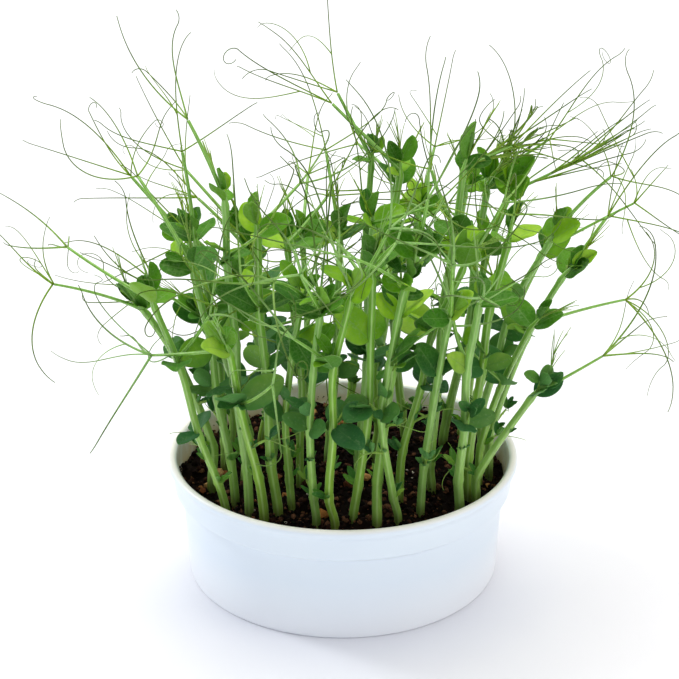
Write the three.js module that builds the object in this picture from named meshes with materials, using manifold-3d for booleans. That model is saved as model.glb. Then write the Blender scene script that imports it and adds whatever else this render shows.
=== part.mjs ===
// A round white tub of potting mix with a crowd of semi-leafless pea shoots growing in it.
// Millimetres, +Z up. The origin is the middle of the tub's underside.
//
// The tub is a lathed shell, the potting mix fills it, and each shoot is one solid: a squarish stem that
// bends a little at every node, a pair of oval stipules and a stalk at each leafy node, and tendrils that
// spread from the stalk's end. Every organ is drawn from a seed and turned until it clears its neighbours.
import * as THREE from "three";
import { mergeVertices } from "three/addons/utils/BufferGeometryUtils.js";
import Module from "manifold-3d";

const wasm = await Module();
wasm.setup();

// ---- Driving dimensions ----

const TUB = {
  height: 50,
  lipRadius: 70,
  bandRadius: 67.8,
  wallTopRadius: 64.8,
  baseRadius: 62.9,
  stepHeight: 36,
  wall: 1.5,
  floor: 2.2,
  grooveInner: 41,
  grooveOuter: 47,
  grooveDepth: 0.8,
  sides: 36,
};
const MIX = { level: 38, gap: 0.3, mound: 2, relief: 0.9, rings: 4, socket: 0.45 };
const REACH = { across: 131, deep: 126, high: 230 };
const ROOT_DEPTH = 9;
const COLLAR_HEIGHT = 4;

const STEM = { baseRadius: 1.8, topRadius: 1.25, sides: 4, kink: 1.3, lowKink: 1.2, scaleNode: 18 };
const BOW = { lean: [0, 0.32], aside: 7 };
const NODE = { first: 7, pitch: 27, lowest: 38, rise: 2, stalked: 2 };
const LIGHT = { azimuth: 262, elevation: 34, share: 0.55 };
const STALK = { radius: 0.85, endRadius: 0.6, steps: 12, shortest: 24, longest: 40, spans: 1, lift: 1.6 };
const TENDRIL = { radius: 0.52, tipRadius: 0.4, steps: 24, shortest: 34, longest: 50, spans: 3, fingers: 3 };
const HUB = { height: 0.9, clearance: 5 };
const BLADE = { shortest: 13, longest: 20, breadth: 0.345, thickness: 0.9, inset: 0.65 };
// By how many leafy nodes stand above: a leaf's size as a share of the full one, and how far it sags,
// in degrees.
const AGE = { size: [0.82, 1, 0.78], sag: [0, 4, 24] };
// A shoot that has outgrown the rest has small leaves.
const LEGGY = { height: 161.5, leaf: 0.62 };
const CLEAR = { gap: 0.3, stem: 1.75, blade: 1.35, stalk: 1.15, tendril: 0.95, cell: 4.5 };
const CLEAR_STEP = { stem: 2.5, blade: 2.6, path: 1.9 };

// One row for each shoot: where it leaves the mix (x, y), where its tip is (x, y, z), the way that its
// topmost stalk points, in degrees from +X, and, for the stalks that stand out, the point where it ends.
const SHOOTS = [
  [-45, -37, -69, -45, 134, 155, -102, -20, 142],
  [-42, -27, -55, -31, 141, 140, -76, -8, 166],
  [-36, -36, -43, -30, 168, 130, -55, -25, 192],
  [-30, -42, -41, -68, 124, 150, -67, -47, 107],
  [-25, -36, -31, -37, 158, 60, -16, -18, 166],
  [-20, -31, -13, -50, 137, 250],
  [-10, -46, -7, -66, 138, 262, -14, -82, 154],
  [-3, -48, 3, -70, 145, 15],
  [4, -43, 10, -58, 150, 290, 17, -76, 166],
  [-52, -14, -79, -22, 122, 188],
  [-39, -8, -54, -4, 110, 205],
  [-29, -3, -41, 3, 122, 165],
  [-17, -13, -22, -11, 143, 60, -6, 4, 154],
  [-48, 3, -58, 7, 140, 95, -60, 0, 173],
  [-6, 8, -1, 13, 138, 80],
  [6, -18, 11, -23, 156, 300],
  [13, 10, 22, 16, 165, 165, -4, 25, 185],
  [13, -46, 26, -60, 158, 300, 29, -62, 174],
  [21, -43, 23, -58, 146, 220],
  [30, -36, 39, -56, 132, 280],
  [22, -27, 45, -37, 145, 5],
  [35, -18, 46, -10, 174, 45, 63, -2, 176],
  [52, -27, 75, -35, 93, 350, 97, -31, 103],
  [45, -35, 48, -58, 138, 300, 47, -82, 146],
  [49, -22, 61, -28, 152, 300, 60, -46, 163],
  [54, -13, 74, -26, 117, 40, 108, -8, 117],
  [59, -3, 88, -8, 131, 30, 101, 2, 147],
  [57, 8, 84, 15, 138, 12],
  [53, 20, 66, 26, 152, 12, 93, 28, 162],
  [26, 29, 22, 39, 153, 110],
  [42, 24, 57, 31, 154, 330, 73, 18, 171],
  [-18, 29, -17, 41, 127, 92],
  [-34, 24, -37, 37, 122, 150],
  [2, 42, 12, 38, 162, 100, -2, 42, 185],
  [18, 45, 33, 57, 135, 70],
  [38, 41, 50, 53, 146, 350, 82, 38, 167],
  [50, 30, 84, 31, 127, 20],
  [-30, 43, -44, 58, 126, 138],
  [-46, 20, -64, 28, 133, 172],
];

// ---- Small tools ----

/** Seeded draws, the same on every run. */
class Draws {
  constructor(shoot, organ, kind) {
    this.state = 7919 * (shoot + 1) + 104729 * (organ + 1) + 1299709 * (kind + 1);
    for (let warm = 0; warm < 4; warm++) this.next();
  }
  next() {
    this.state = (this.state * 48271) % 2147483647;
    return this.state / 2147483647;
  }
  between(low, high) {
    return low + (high - low) * this.next();
  }
}

const KIND = { stem: 0, blade: 1, stalk: 2, tendril: 3 };
const radians = (degrees) => (degrees * Math.PI) / 180;
const mix = (a, b, t) => a + (b - a) * t;

/** The unit vector at an azimuth from +X and an elevation above the horizon, in degrees. */
function heading(azimuth, elevation) {
  const [a, e] = [radians(azimuth), radians(elevation)];
  return new THREE.Vector3(Math.cos(a) * Math.cos(e), Math.sin(a) * Math.cos(e), Math.sin(e));
}

/** A closed mesh of vertices and triangles as a solid that can be joined and cut. */
function solidOf(vertices, triangles) {
  return new wasm.Manifold(
    new wasm.Mesh({
      numProp: 3,
      vertProperties: new Float32Array(vertices.flatMap((p) => [p.x, p.y, p.z])),
      triVerts: new Uint32Array(triangles.flat()),
    }),
  );
}

/** A three.js geometry, turned into a solid. */
function solidOfGeometry(geometry) {
  geometry.deleteAttribute("normal");
  geometry.deleteAttribute("uv");
  const merged = mergeVertices(geometry, 1e-4);
  return new wasm.Manifold(
    new wasm.Mesh({
      numProp: 3,
      vertProperties: new Float32Array(merged.attributes.position.array),
      triVerts: new Uint32Array(merged.index.array),
    }),
  );
}

/** A solid as a three.js geometry with flat faces. */
function geometryOf(solid) {
  const mesh = solid.getMesh();
  const geometry = new THREE.BufferGeometry();
  geometry.setAttribute("position", new THREE.BufferAttribute(mesh.vertProperties, 3));
  geometry.setIndex(new THREE.BufferAttribute(mesh.triVerts, 1));
  geometry.computeVertexNormals();
  return geometry;
}

/** A closed tapering tube along points, with one radius for each point. */
function tube(points, radii, sides) {
  const vertices = [];
  const triangles = [];
  let across = new THREE.Vector3(1, 0, 0);
  points.forEach((point, i) => {
    const ahead = points[Math.min(i + 1, points.length - 1)];
    const behind = points[Math.max(i - 1, 0)];
    const along = ahead.clone().sub(behind).normalize();
    across = across.clone().addScaledVector(along, -across.dot(along)).normalize();
    const up = along.clone().cross(across);
    for (let k = 0; k < sides; k++) {
      const turn = (2 * Math.PI * k) / sides;
      vertices.push(
        point
          .clone()
          .addScaledVector(across, radii[i] * Math.cos(turn))
          .addScaledVector(up, radii[i] * Math.sin(turn)),
      );
    }
  });
  const at = (ring, k) => ring * sides + (k % sides);
  for (let ring = 0; ring < points.length - 1; ring++)
    for (let k = 0; k < sides; k++)
      triangles.push(
        [at(ring, k), at(ring, k + 1), at(ring + 1, k + 1)],
        [at(ring, k), at(ring + 1, k + 1), at(ring + 1, k)],
      );
  const last = points.length - 1;
  for (let k = 1; k < sides - 1; k++)
    triangles.push([at(0, 0), at(0, k + 1), at(0, k)], [at(last, 0), at(last, k), at(last, k + 1)]);
  return solidOf(vertices, triangles);
}

// ---- Growth: where every organ of every shoot goes ----

/** Spheres that stand for what has grown so far, so that what grows next can be turned clear of it. */
class Crowd {
  constructor() {
    this.cells = new Map();
  }
  key(x, y, z) {
    return `${Math.floor(x / CLEAR.cell)},${Math.floor(y / CLEAR.cell)},${Math.floor(z / CLEAR.cell)}`;
  }
  /** True if every sphere of an organ misses the tub, the mix and all the other shoots. */
  admits({ spheres, joined = 0 }, radius, shoot, hub) {
    return spheres.every(
      (p, i) =>
        this.reaches(p, radius) &&
        !this.meetsTub(p, radius) &&
        !this.meetsOthers(p, radius, shoot, i < joined ? null : hub),
    );
  }
  reaches(p, radius) {
    return Math.hypot(p.x / REACH.across, p.y / REACH.deep) < 1 && p.z + radius < REACH.high;
  }
  meetsTub(p, radius) {
    const out = Math.hypot(p.x, p.y) + radius;
    const low = p.z - radius;
    return low < MIX.level + MIX.mound + 1 || (low < TUB.height + 1 && out > TUB.baseRadius);
  }
  /** Organs of one shoot may meet, as they fuse, but tendrils of one hub may not. */
  meetsOthers(p, radius, shoot, hub) {
    for (const dx of [-CLEAR.cell, 0, CLEAR.cell])
      for (const dy of [-CLEAR.cell, 0, CLEAR.cell])
        for (const dz of [-CLEAR.cell, 0, CLEAR.cell])
          for (const other of this.cells.get(this.key(p.x + dx, p.y + dy, p.z + dz)) ?? [])
            if (
              (other.shoot !== shoot || (hub && other.hub === hub)) &&
              other.p.distanceTo(p) < other.radius + radius + CLEAR.gap
            )
              return true;
    return false;
  }
  claim({ spheres, joined = 0 }, radius, shoot, hub) {
    spheres.forEach((p, i) => {
      const key = this.key(p.x, p.y, p.z);
      if (!this.cells.has(key)) this.cells.set(key, []);
      this.cells.get(key).push({ p, radius, shoot, hub: i < joined ? null : hub });
    });
  }
  /** Tries make(0), make(1), ... until one is clear, claims its space and returns it, or null. */
  settle(tries, radius, shoot, make, hub = null) {
    for (let attempt = 0; attempt < tries; attempt++) {
      const organ = make(attempt);
      if (this.admits(organ, radius, shoot, hub)) {
        this.claim(organ, radius, shoot, hub);
        return organ;
      }
    }
    return null;
  }
}

/** The nodes of one stem, from the collar to the tip, each with its point and what grows there. */
function growStem(row, shoot, draws, attempt) {
  const [baseX, baseY, tipX, tipY, tipZ, facing, ...hub] = row;
  const stray = 0.6 * attempt;
  const base = new THREE.Vector3(baseX, baseY, MIX.level);
  const tip = new THREE.Vector3(
    tipX + draws.between(-stray, stray),
    tipY + draws.between(-stray, stray),
    tipZ + draws.between(-stray, stray),
  );
  const lean = draws.between(...BOW.lean);
  const aside = BOW.aside + stray;
  const middle = new THREE.Vector3(
    mix(baseX, tip.x, lean) + draws.between(-aside, aside),
    mix(baseY, tip.y, lean) + draws.between(-aside, aside),
    mix(MIX.level, tip.z, 0.52),
  );
  const route = new THREE.QuadraticBezierCurve3(base, middle, tip);
  const length = base.distanceTo(tip);
  const leafy = [];
  for (let down = NODE.first; length - down > NODE.lowest; down += NODE.pitch) leafy.unshift(down);
  const nodes = [
    { t: (STEM.scaleNode + draws.between(-6, 6)) / length, grows: "scale" },
    ...leafy.map((down, i) => ({
      t: 1 - (down + (down > NODE.first ? draws.between(-4, 4) : 0)) / length,
      grows: "leaf",
      rank: leafy.length - 1 - i,
    })),
  ];
  const sway = heading(facing, 0);
  nodes.forEach((node, i) => {
    const kink = (node.grows === "leaf" ? STEM.kink : STEM.lowKink) * (1 - node.t * 0.5);
    node.point = route.getPoint(node.t).addScaledVector(sway, i % 2 ? kink : -kink);
    node.azimuth = facing + 180 * (nodes.length - 1 - i) + draws.between(-22, 22);
  });
  const collar = new THREE.Vector3(baseX, baseY, MIX.level + COLLAR_HEIGHT);
  const points = [collar, ...nodes.map((node) => node.point), tip];
  nodes.forEach((node, i) => {
    node.upward = points[i + 2].clone().sub(node.point).normalize();
    node.socket = node.point.clone().addScaledVector(node.upward, NODE.rise);
  });
  const spheres = [];
  for (let i = 0; i < points.length - 1; i++) {
    const steps = Math.ceil(points[i].distanceTo(points[i + 1]) / CLEAR_STEP.stem);
    for (let k = 0; k < steps; k++) spheres.push(points[i].clone().lerp(points[i + 1], k / steps));
  }
  return {
    shoot,
    nodes,
    tip,
    collar,
    length,
    hub: hub.length ? hub : null,
    points,
    spheres: spheres.filter((p) => p.z > MIX.level + 6),
  };
}

/** How wide a stipule is at u along its midrib, as a share of its widest. */
const bladeOutline = (u) => Math.pow(Math.max(0, Math.sin(Math.PI * Math.pow(u, 0.94))), 0.53);

/** A point of a blade: u along the midrib, v across it from -1 to 1, lift off its surface. */
function bladePoint(blade, u, v, lift = 0) {
  const half = blade.half * bladeOutline(u) * v;
  const rise = blade.fold * Math.abs(half) - blade.droop * blade.length * u * u + lift;
  return blade.root
    .clone()
    .addScaledVector(blade.axis, BLADE.inset + blade.length * u)
    .addScaledVector(blade.side, half)
    .addScaledVector(blade.normal, rise);
}

/** The roll about its midrib, in degrees, that turns a level blade's face most to the light. */
function rollToLight(axis, side) {
  const light = heading(LIGHT.azimuth, LIGHT.elevation);
  const face = side.clone().cross(axis);
  return (Math.atan(side.dot(light) / face.dot(light)) * 180) / Math.PI;
}

/** One blade that leaves root at an azimuth and elevation, rolled part of the way to the light. */
function growBlade(root, azimuth, elevation, roll, length, fold, droop) {
  const axis = heading(azimuth, elevation);
  const side = new THREE.Vector3(axis.y, -axis.x, 0).normalize();
  side.applyAxisAngle(axis, radians(LIGHT.share * rollToLight(axis, side) + roll));
  const normal = side.clone().cross(axis);
  const blade = { root, axis, side, normal, length, half: BLADE.breadth * length, fold, droop };
  blade.spheres = [];
  const rows = Math.ceil(length / CLEAR_STEP.blade);
  for (let i = 1; i <= rows; i++) {
    const u = mix(0.1, 0.97, (i - 1) / (rows - 1));
    const half = blade.half * bladeOutline(u);
    const columns = Math.max(1, Math.ceil((2 * half) / CLEAR_STEP.blade));
    for (let k = 0; k <= columns; k++) blade.spheres.push(bladePoint(blade, u, (2 * k) / columns - 1));
  }
  return blade;
}

/**
 * A path that sets out along a heading and turns about an axis, more and more towards its end.
 * Its joints are the few points that the solid passes through, and its spheres follow those.
 */
function sweep(start, along, axis, length, turn, curl, steps, spans) {
  const points = [start.clone()];
  const way = along.clone();
  for (let i = 0; i < steps; i++) {
    const share = i / steps;
    way.applyAxisAngle(axis, (turn + 3 * curl * share * share) / steps);
    points.push(points[i].clone().addScaledVector(way, length / steps));
  }
  const joints = points.filter((_, i) => (i * spans) % steps === 0);
  const spheres = [];
  for (let i = 0; i < spans; i++) {
    const count = Math.ceil(joints[i].distanceTo(joints[i + 1]) / CLEAR_STEP.path);
    for (let k = 1; k <= count; k++) spheres.push(joints[i].clone().lerp(joints[i + 1], k / count));
  }
  const joined = spheres.filter((p) => p.distanceTo(start) < HUB.clearance).length;
  return { points, joints, way, spheres, joined };
}

/** Everything that grows from one leafy node: two stipules, a stalk and its tendrils. */
function growLeaf(crowd, plant, node, place) {
  const shoot = plant.shoot;
  node.blades = [];
  for (const hand of [-1, 1]) {
    const draws = new Draws(shoot, 2 * place + (hand > 0 ? 1 : 0), KIND.blade);
    const age = Math.min(node.rank, AGE.size.length - 1);
    const size = AGE.size[age] * (plant.tip.z > LEGGY.height ? LEGGY.leaf : 1);
    const blade = crowd.settle(40, CLEAR.blade, shoot, (attempt) =>
      growBlade(
        node.socket,
        node.azimuth + hand * draws.between(48, 82) + draws.between(-1.2, 1.2) * attempt,
        draws.between(12, 58) - AGE.sag[age] + draws.between(-0.6, 0.9) * attempt,
        hand * draws.between(-34, 34),
        size * draws.between(BLADE.shortest, BLADE.longest) * (1 - 0.011 * attempt),
        draws.between(0.08, 0.34),
        draws.between(-0.08, 0.2),
      ),
    );
    if (blade) node.blades.push(blade);
  }
}

/** The stalk of one leafy node, which ends in the hub that its tendrils leave. */
function growStalk(crowd, plant, node, place) {
  const draws = new Draws(plant.shoot, place, KIND.stalk);
  const start = node.socket.clone().addScaledVector(node.upward, STALK.lift);
  const goal = node.rank === 0 ? plant.hub : null;
  node.stalk = crowd.settle(50, CLEAR.stalk, plant.shoot, (attempt) => {
    if (goal) {
      const stray = 0.5 * attempt;
      const end = goal.map((value) => value + draws.between(-stray, stray));
      const way = new THREE.Vector3(...end).sub(start);
      const level = heading((Math.atan2(way.y, way.x) * 180) / Math.PI + 90, 0);
      const bow = draws.between(-0.2, 0.2);
      const along = way.clone().normalize().applyAxisAngle(level, -bow / 2);
      return sweep(start, along, level, way.length(), bow, 0, STALK.steps, STALK.spans);
    }
    const azimuth = node.azimuth + draws.between(-1, 1) * (8 + 1.6 * attempt);
    const elevation = draws.between(22, 58) + draws.between(-0.5, 0.8) * attempt;
    const reach = draws.between(STALK.shortest, STALK.longest) * (node.rank ? 0.85 : 1);
    const length = reach * (1 - 0.012 * attempt);
    const bow = draws.between(-0.45, 0.35);
    const level = heading(azimuth + 90, 0);
    return sweep(start, heading(azimuth, elevation), level, length, bow, 0, STALK.steps, STALK.spans);
  });
}

/** One tendril from a stalk's hub. The fingers leave evenly round the stalk's line, the first close to it. */
function growTendril(crowd, plant, node, place, finger) {
  const draws = new Draws(plant.shoot, 8 * place + finger, KIND.tendril);
  const { points, way } = node.stalk;
  const hub = points[points.length - 1].clone().addScaledVector(way, HUB.height / 2);
  const level = new THREE.Vector3(way.y, -way.x, 0.001).normalize();
  const make = (attempt) => {
    const around = finger * 120 + draws.between(-32, 32);
    const spread = (finger === 0 ? draws.between(6, 24) : draws.between(30, 78)) + 0.3 * attempt;
    const axis = level.clone().applyAxisAngle(way, radians(around));
    const along = way.clone().applyAxisAngle(axis, radians(spread));
    const length = draws.between(TENDRIL.shortest, TENDRIL.longest) * (1 - 0.013 * attempt);
    const twist = axis.clone().applyAxisAngle(along, draws.between(-1.2, 1.2));
    const [turn, curl] = [draws.between(-0.9, 0.7), draws.between(-1, 1)];
    return sweep(hub, along, twist, length, turn, curl, TENDRIL.steps, TENDRIL.spans);
  };
  return crowd.settle(50, CLEAR.tendril, plant.shoot, make, `${plant.shoot}/${place}`);
}

/** All the shoots, with stems first, then stipules, then stalks and tendrils, so that big organs get room. */
function growShoots() {
  const crowd = new Crowd();
  const plants = SHOOTS.map((row, shoot) => {
    const draws = new Draws(shoot, 0, KIND.stem);
    return crowd.settle(60, CLEAR.stem, shoot, (attempt) => growStem(row, shoot, draws, attempt));
  }).filter((plant) => plant);
  const leaves = plants.flatMap((plant) =>
    plant.nodes.filter((node) => node.grows === "leaf").map((node, place) => ({ plant, node, place })),
  );
  leaves.forEach(({ plant, node, place }) => growLeaf(crowd, plant, node, place));
  leaves.forEach(({ node }) => (node.tendrils = []));
  leaves
    .filter(({ node }) => node.rank < NODE.stalked)
    .forEach(({ plant, node, place }) => growStalk(crowd, plant, node, place));
  for (let finger = 0; finger < TENDRIL.fingers; finger++)
    leaves
      .filter(({ node }) => node.stalk && (finger < 2 || node.rank === 0))
      .forEach(({ plant, node, place }) => {
        const tendril = growTendril(crowd, plant, node, place, finger);
        if (tendril) node.tendrils.push({ finger, ...tendril });
      });
  return plants;
}

// ---- Solids ----

/** The tub: underside with its groove, wall, step, band and rolled lip, then back down the inside. */
function makeTub() {
  const { height, lipRadius, bandRadius, wallTopRadius, baseRadius, stepHeight, wall, floor, sides } = TUB;
  const profile = [
    [0, 0],
    [TUB.grooveInner, 0],
    [TUB.grooveInner + 1, TUB.grooveDepth],
    [TUB.grooveOuter - 1, TUB.grooveDepth],
    [TUB.grooveOuter, 0],
    [baseRadius - 1, 0],
    [baseRadius - 0.2, 0.3],
    [baseRadius, 1.1],
    [wallTopRadius, stepHeight - 1.5],
    [bandRadius, stepHeight + 0.8],
    [lipRadius - 0.9, height - 4.2],
    [lipRadius, height - 3],
    [lipRadius - 0.2, height - 1],
    [lipRadius - 1.1, height],
    [lipRadius - 1.9, height - 0.5],
    [bandRadius - wall, stepHeight + 1.8],
    [wallTopRadius - wall, stepHeight - 0.6],
    [baseRadius - wall, floor + 2.4],
    [baseRadius - wall - 2.4, floor],
    [0, floor],
  ];
  const lathe = new THREE.LatheGeometry(
    profile.map(([r, z]) => new THREE.Vector2(r, z)),
    sides,
  );
  return geometryOf(solidOfGeometry(lathe.rotateX(Math.PI / 2)));
}

/** How far the potting mix stands above its level at a point: a low mound with a rough, crumbly top. */
function mixRise(x, y) {
  const out = Math.hypot(x, y) / TUB.baseRadius;
  const crumbs =
    Math.sin(0.61 * x + 1.3) * Math.sin(0.57 * y + 0.4) +
    Math.sin(1.13 * x - 0.71 * y) +
    0.6 * Math.sin(1.7 * y + 0.9 * x + 2);
  return MIX.mound * (1 - out * out) + MIX.relief * 0.5 * crumbs;
}

/** The potting mix: it fills the tub, follows its step, and has a plain socket for each stem. */
function makeMix(plants) {
  const side = TUB.wallTopRadius - TUB.wall - MIX.gap;
  const outline = [
    [0, TUB.floor + MIX.gap],
    [TUB.baseRadius - TUB.wall - 2.4 - MIX.gap, TUB.floor + MIX.gap],
    [TUB.baseRadius - TUB.wall - MIX.gap, TUB.floor + 2.6],
    [side, TUB.stepHeight - 0.5],
  ];
  const rings = [...Array(MIX.rings).keys()].map((i) => [(side * (MIX.rings - i)) / MIX.rings, MIX.level]);
  const profile = [...outline, ...rings, [0, MIX.level]];
  const lathe = new THREE.LatheGeometry(
    profile.map(([r, z]) => new THREE.Vector2(r, z)),
    TUB.sides,
  ).rotateX(Math.PI / 2);
  const places = lathe.attributes.position;
  for (let i = 0; i < places.count; i++)
    if (places.getZ(i) > MIX.level - 1e-3)
      places.setZ(i, MIX.level + Math.round(mixRise(places.getX(i), places.getY(i)) * 1e3) / 1e3);
  const sockets = plants.map(({ collar }) => {
    const foot = new THREE.Vector3(collar.x, collar.y, MIX.level - ROOT_DEPTH - MIX.gap);
    const top = new THREE.Vector3(collar.x, collar.y, MIX.level + 12);
    const radius = STEM.baseRadius + MIX.socket;
    return tube([foot, top], [radius, radius], STEM.sides);
  });
  return geometryOf(solidOfGeometry(lathe).subtract(wasm.Manifold.union(sockets)));
}

/** The stem's radius at a height above the mix. */
const stemRadius = (share) => mix(STEM.baseRadius, STEM.topRadius, Math.min(1, Math.max(0, share)));

function stemSolid(plant) {
  const foot = new THREE.Vector3(plant.collar.x, plant.collar.y, MIX.level - ROOT_DEPTH);
  const points = [foot, ...plant.points];
  const radii = points.map((p) => stemRadius((p.z - MIX.level) / plant.length));
  return tube(points, radii, STEM.sides);
}

/** A blade with a thick midrib and thin edges, split into triangles alike on both faces. */
function bladeSolid(blade, edges, ribs) {
  const margin = [[0, 0], ...edges.map((u) => [u, 1]), [1, 0], ...edges.toReversed().map((u) => [u, -1])];
  const vertices = [];
  margin.forEach(([u, v]) => vertices.push(bladePoint(blade, u, v)));
  ribs.forEach((u) => vertices.push(bladePoint(blade, u, 0, BLADE.thickness / 2)));
  ribs.forEach((u) => vertices.push(bladePoint(blade, u, 0, -BLADE.thickness / 2)));
  const count = margin.length;
  const away = (n, rib) => Math.abs(ribs[rib] - margin[n][0]);
  const nearest = (n) => ribs.reduce((best, _, rib) => (away(n, rib) < away(n, best) ? rib : best), 0);
  const triangles = [];
  for (let n = 0; n < count; n++) {
    const next = (n + 1) % count;
    const [here, there] = [nearest(n), nearest(next)];
    const top = (rib) => count + rib;
    const bottom = (rib) => count + ribs.length + rib;
    triangles.push([n, next, top(here)], [next, n, bottom(here)]);
    if (here !== there) triangles.push([next, top(there), top(here)], [next, bottom(here), bottom(there)]);
  }
  const made = solidOf(vertices, triangles);
  return made.volume() > 0 ? made : solidOf(vertices, triangles.map(([a, b, c]) => [a, c, b]));
}

const LEAF_EDGES = [0.2, 0.55, 0.87];
const LEAF_RIBS = [0.45];

/** A ring of three vertices round a point of a path, with its first vertex towards a given side. */
function ringOfThree(point, along, across, radius) {
  const up = along.clone().cross(across);
  return [0, 1, 2].map((k) => {
    const turn = (2 * Math.PI * k) / 3;
    return point
      .clone()
      .addScaledVector(across, radius * Math.cos(turn))
      .addScaledVector(up, radius * Math.sin(turn));
  });
}

/** Carries a three-sided branch on from three vertices of a mesh to the last joint, and returns its end. */
function extendBranch(mesh, from, joints, radii) {
  const centre = from.reduce((sum, n) => sum.add(mesh.vertices[n]), new THREE.Vector3()).divideScalar(3);
  let across = mesh.vertices[from[0]].clone().sub(centre);
  let ring = from;
  joints.forEach((joint, i) => {
    const behind = i ? joints[i - 1] : centre;
    const along = (joints[i + 1] ?? joint).clone().sub(behind).normalize();
    across = across.clone().addScaledVector(along, -across.dot(along)).normalize();
    const next = [0, 1, 2].map((k) => mesh.vertices.length + k);
    mesh.vertices.push(...ringOfThree(joint, along, across, radii[i]));
    for (let k = 0; k < 3; k++) {
      const [a, b, c, d] = [ring[k], ring[(k + 1) % 3], next[(k + 1) % 3], next[k]];
      mesh.triangles.push([a, b, c], [a, c, d]);
    }
    ring = next;
  });
  return ring;
}

/** A stalk that parts at its hub into tendrils, one from each face of the hub's point. */
function stalkSolid(stalk, tendrils) {
  const [start, ...joints] = stalk.joints;
  const along = joints[0].clone().sub(start).normalize();
  const level = new THREE.Vector3(stalk.way.y, -stalk.way.x, 0.001).normalize();
  const across = level.clone().applyAxisAngle(along, radians(-150));
  across.addScaledVector(along, -across.dot(along)).normalize();
  const mesh = { vertices: ringOfThree(start, along, across, STALK.radius), triangles: [[0, 2, 1]] };
  const radii = joints.map((_, i) => mix(STALK.radius, STALK.endRadius, (i + 1) / joints.length));
  const end = extendBranch(mesh, [0, 1, 2], joints, radii);
  const apex = mesh.vertices.length;
  mesh.vertices.push(joints[joints.length - 1].clone().addScaledVector(stalk.way, HUB.height));
  for (let finger = 0; finger < 3; finger++) {
    const face = [end[finger], end[(finger + 1) % 3], apex];
    const tendril = tendrils.find((other) => other.finger === finger);
    if (!tendril) {
      mesh.triangles.push(face);
      continue;
    }
    const path = tendril.joints.slice(1);
    const tapers = path.map((_, i) => mix(TENDRIL.radius, TENDRIL.tipRadius, (i + 1) / path.length));
    mesh.triangles.push(extendBranch(mesh, face, path, tapers));
  }
  return solidOf(mesh.vertices, mesh.triangles);
}

/** A whole shoot as one fused solid. */
function makeShoot(plant) {
  const parts = [stemSolid(plant)];
  for (const node of plant.nodes) {
    for (const blade of node.blades ?? []) parts.push(bladeSolid(blade, LEAF_EDGES, LEAF_RIBS));
    if (!node.stalk) continue;
    parts.push(stalkSolid(node.stalk, node.tendrils));
  }
  return geometryOf(wasm.Manifold.union(parts));
}

// ---- The object ----

const WHITE_PLASTIC = { color: 0xe9eef6, roughness: 0.35, metalness: 0 };
const DAMP_MIX = { color: 0x2b1a12, roughness: 0.95, metalness: 0 };
const PEA_GREEN = { color: 0x4f8a3a, roughness: 0.55, metalness: 0 };

function named(name, geometry, finish) {
  const mesh = new THREE.Mesh(geometry, new THREE.MeshStandardMaterial(finish));
  mesh.name = name;
  return mesh;
}

const plants = growShoots();
const trayOfShoots = new THREE.Group();
trayOfShoots.add(named("tub", makeTub(), WHITE_PLASTIC));
trayOfShoots.add(named("potting_mix", makeMix(plants), DAMP_MIX));
plants.forEach((plant) => {
  const name = `shoot_${String(plant.shoot + 1).padStart(2, "0")}`;
  trayOfShoots.add(named(name, makeShoot(plant), PEA_GREEN));
});

export default trayOfShoots;
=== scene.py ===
"""A round white tub of potting mix with a crowd of semi-leafless pea shoots, built and dressed in Blender.

The shoots grow here by the same seeded rule as in the part's source, so every stem, stipule, stalk and
tendril stands where its solid does. Lengths in the growth rule are millimetres, and the meshes are made in
metres.
"""

from __future__ import annotations

import logging
import math
from dataclasses import dataclass, field
from enum import Enum
from functools import partial
from itertools import combinations
from typing import Callable, NamedTuple, Optional, Sequence, TypeVar

import bpy  # noqa: E402
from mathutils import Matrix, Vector, noise  # noqa: E402

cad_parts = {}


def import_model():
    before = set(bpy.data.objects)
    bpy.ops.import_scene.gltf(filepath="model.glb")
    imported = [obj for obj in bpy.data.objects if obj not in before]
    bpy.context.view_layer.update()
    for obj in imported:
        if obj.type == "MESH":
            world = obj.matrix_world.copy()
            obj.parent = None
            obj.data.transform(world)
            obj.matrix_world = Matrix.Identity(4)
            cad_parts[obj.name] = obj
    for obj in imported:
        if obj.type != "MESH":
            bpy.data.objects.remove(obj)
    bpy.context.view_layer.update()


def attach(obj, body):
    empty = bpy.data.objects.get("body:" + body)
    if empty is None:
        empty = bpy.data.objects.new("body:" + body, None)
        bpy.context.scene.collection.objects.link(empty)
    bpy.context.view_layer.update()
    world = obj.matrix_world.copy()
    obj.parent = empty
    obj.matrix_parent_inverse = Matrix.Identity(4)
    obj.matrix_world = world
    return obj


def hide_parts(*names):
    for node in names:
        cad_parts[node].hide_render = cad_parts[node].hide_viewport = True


log = logging.getLogger("pea_shoot_tray")
MM = 0.001


# ---- Double-precision vectors and seeded draws, as the growth rule needs them ----


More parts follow.
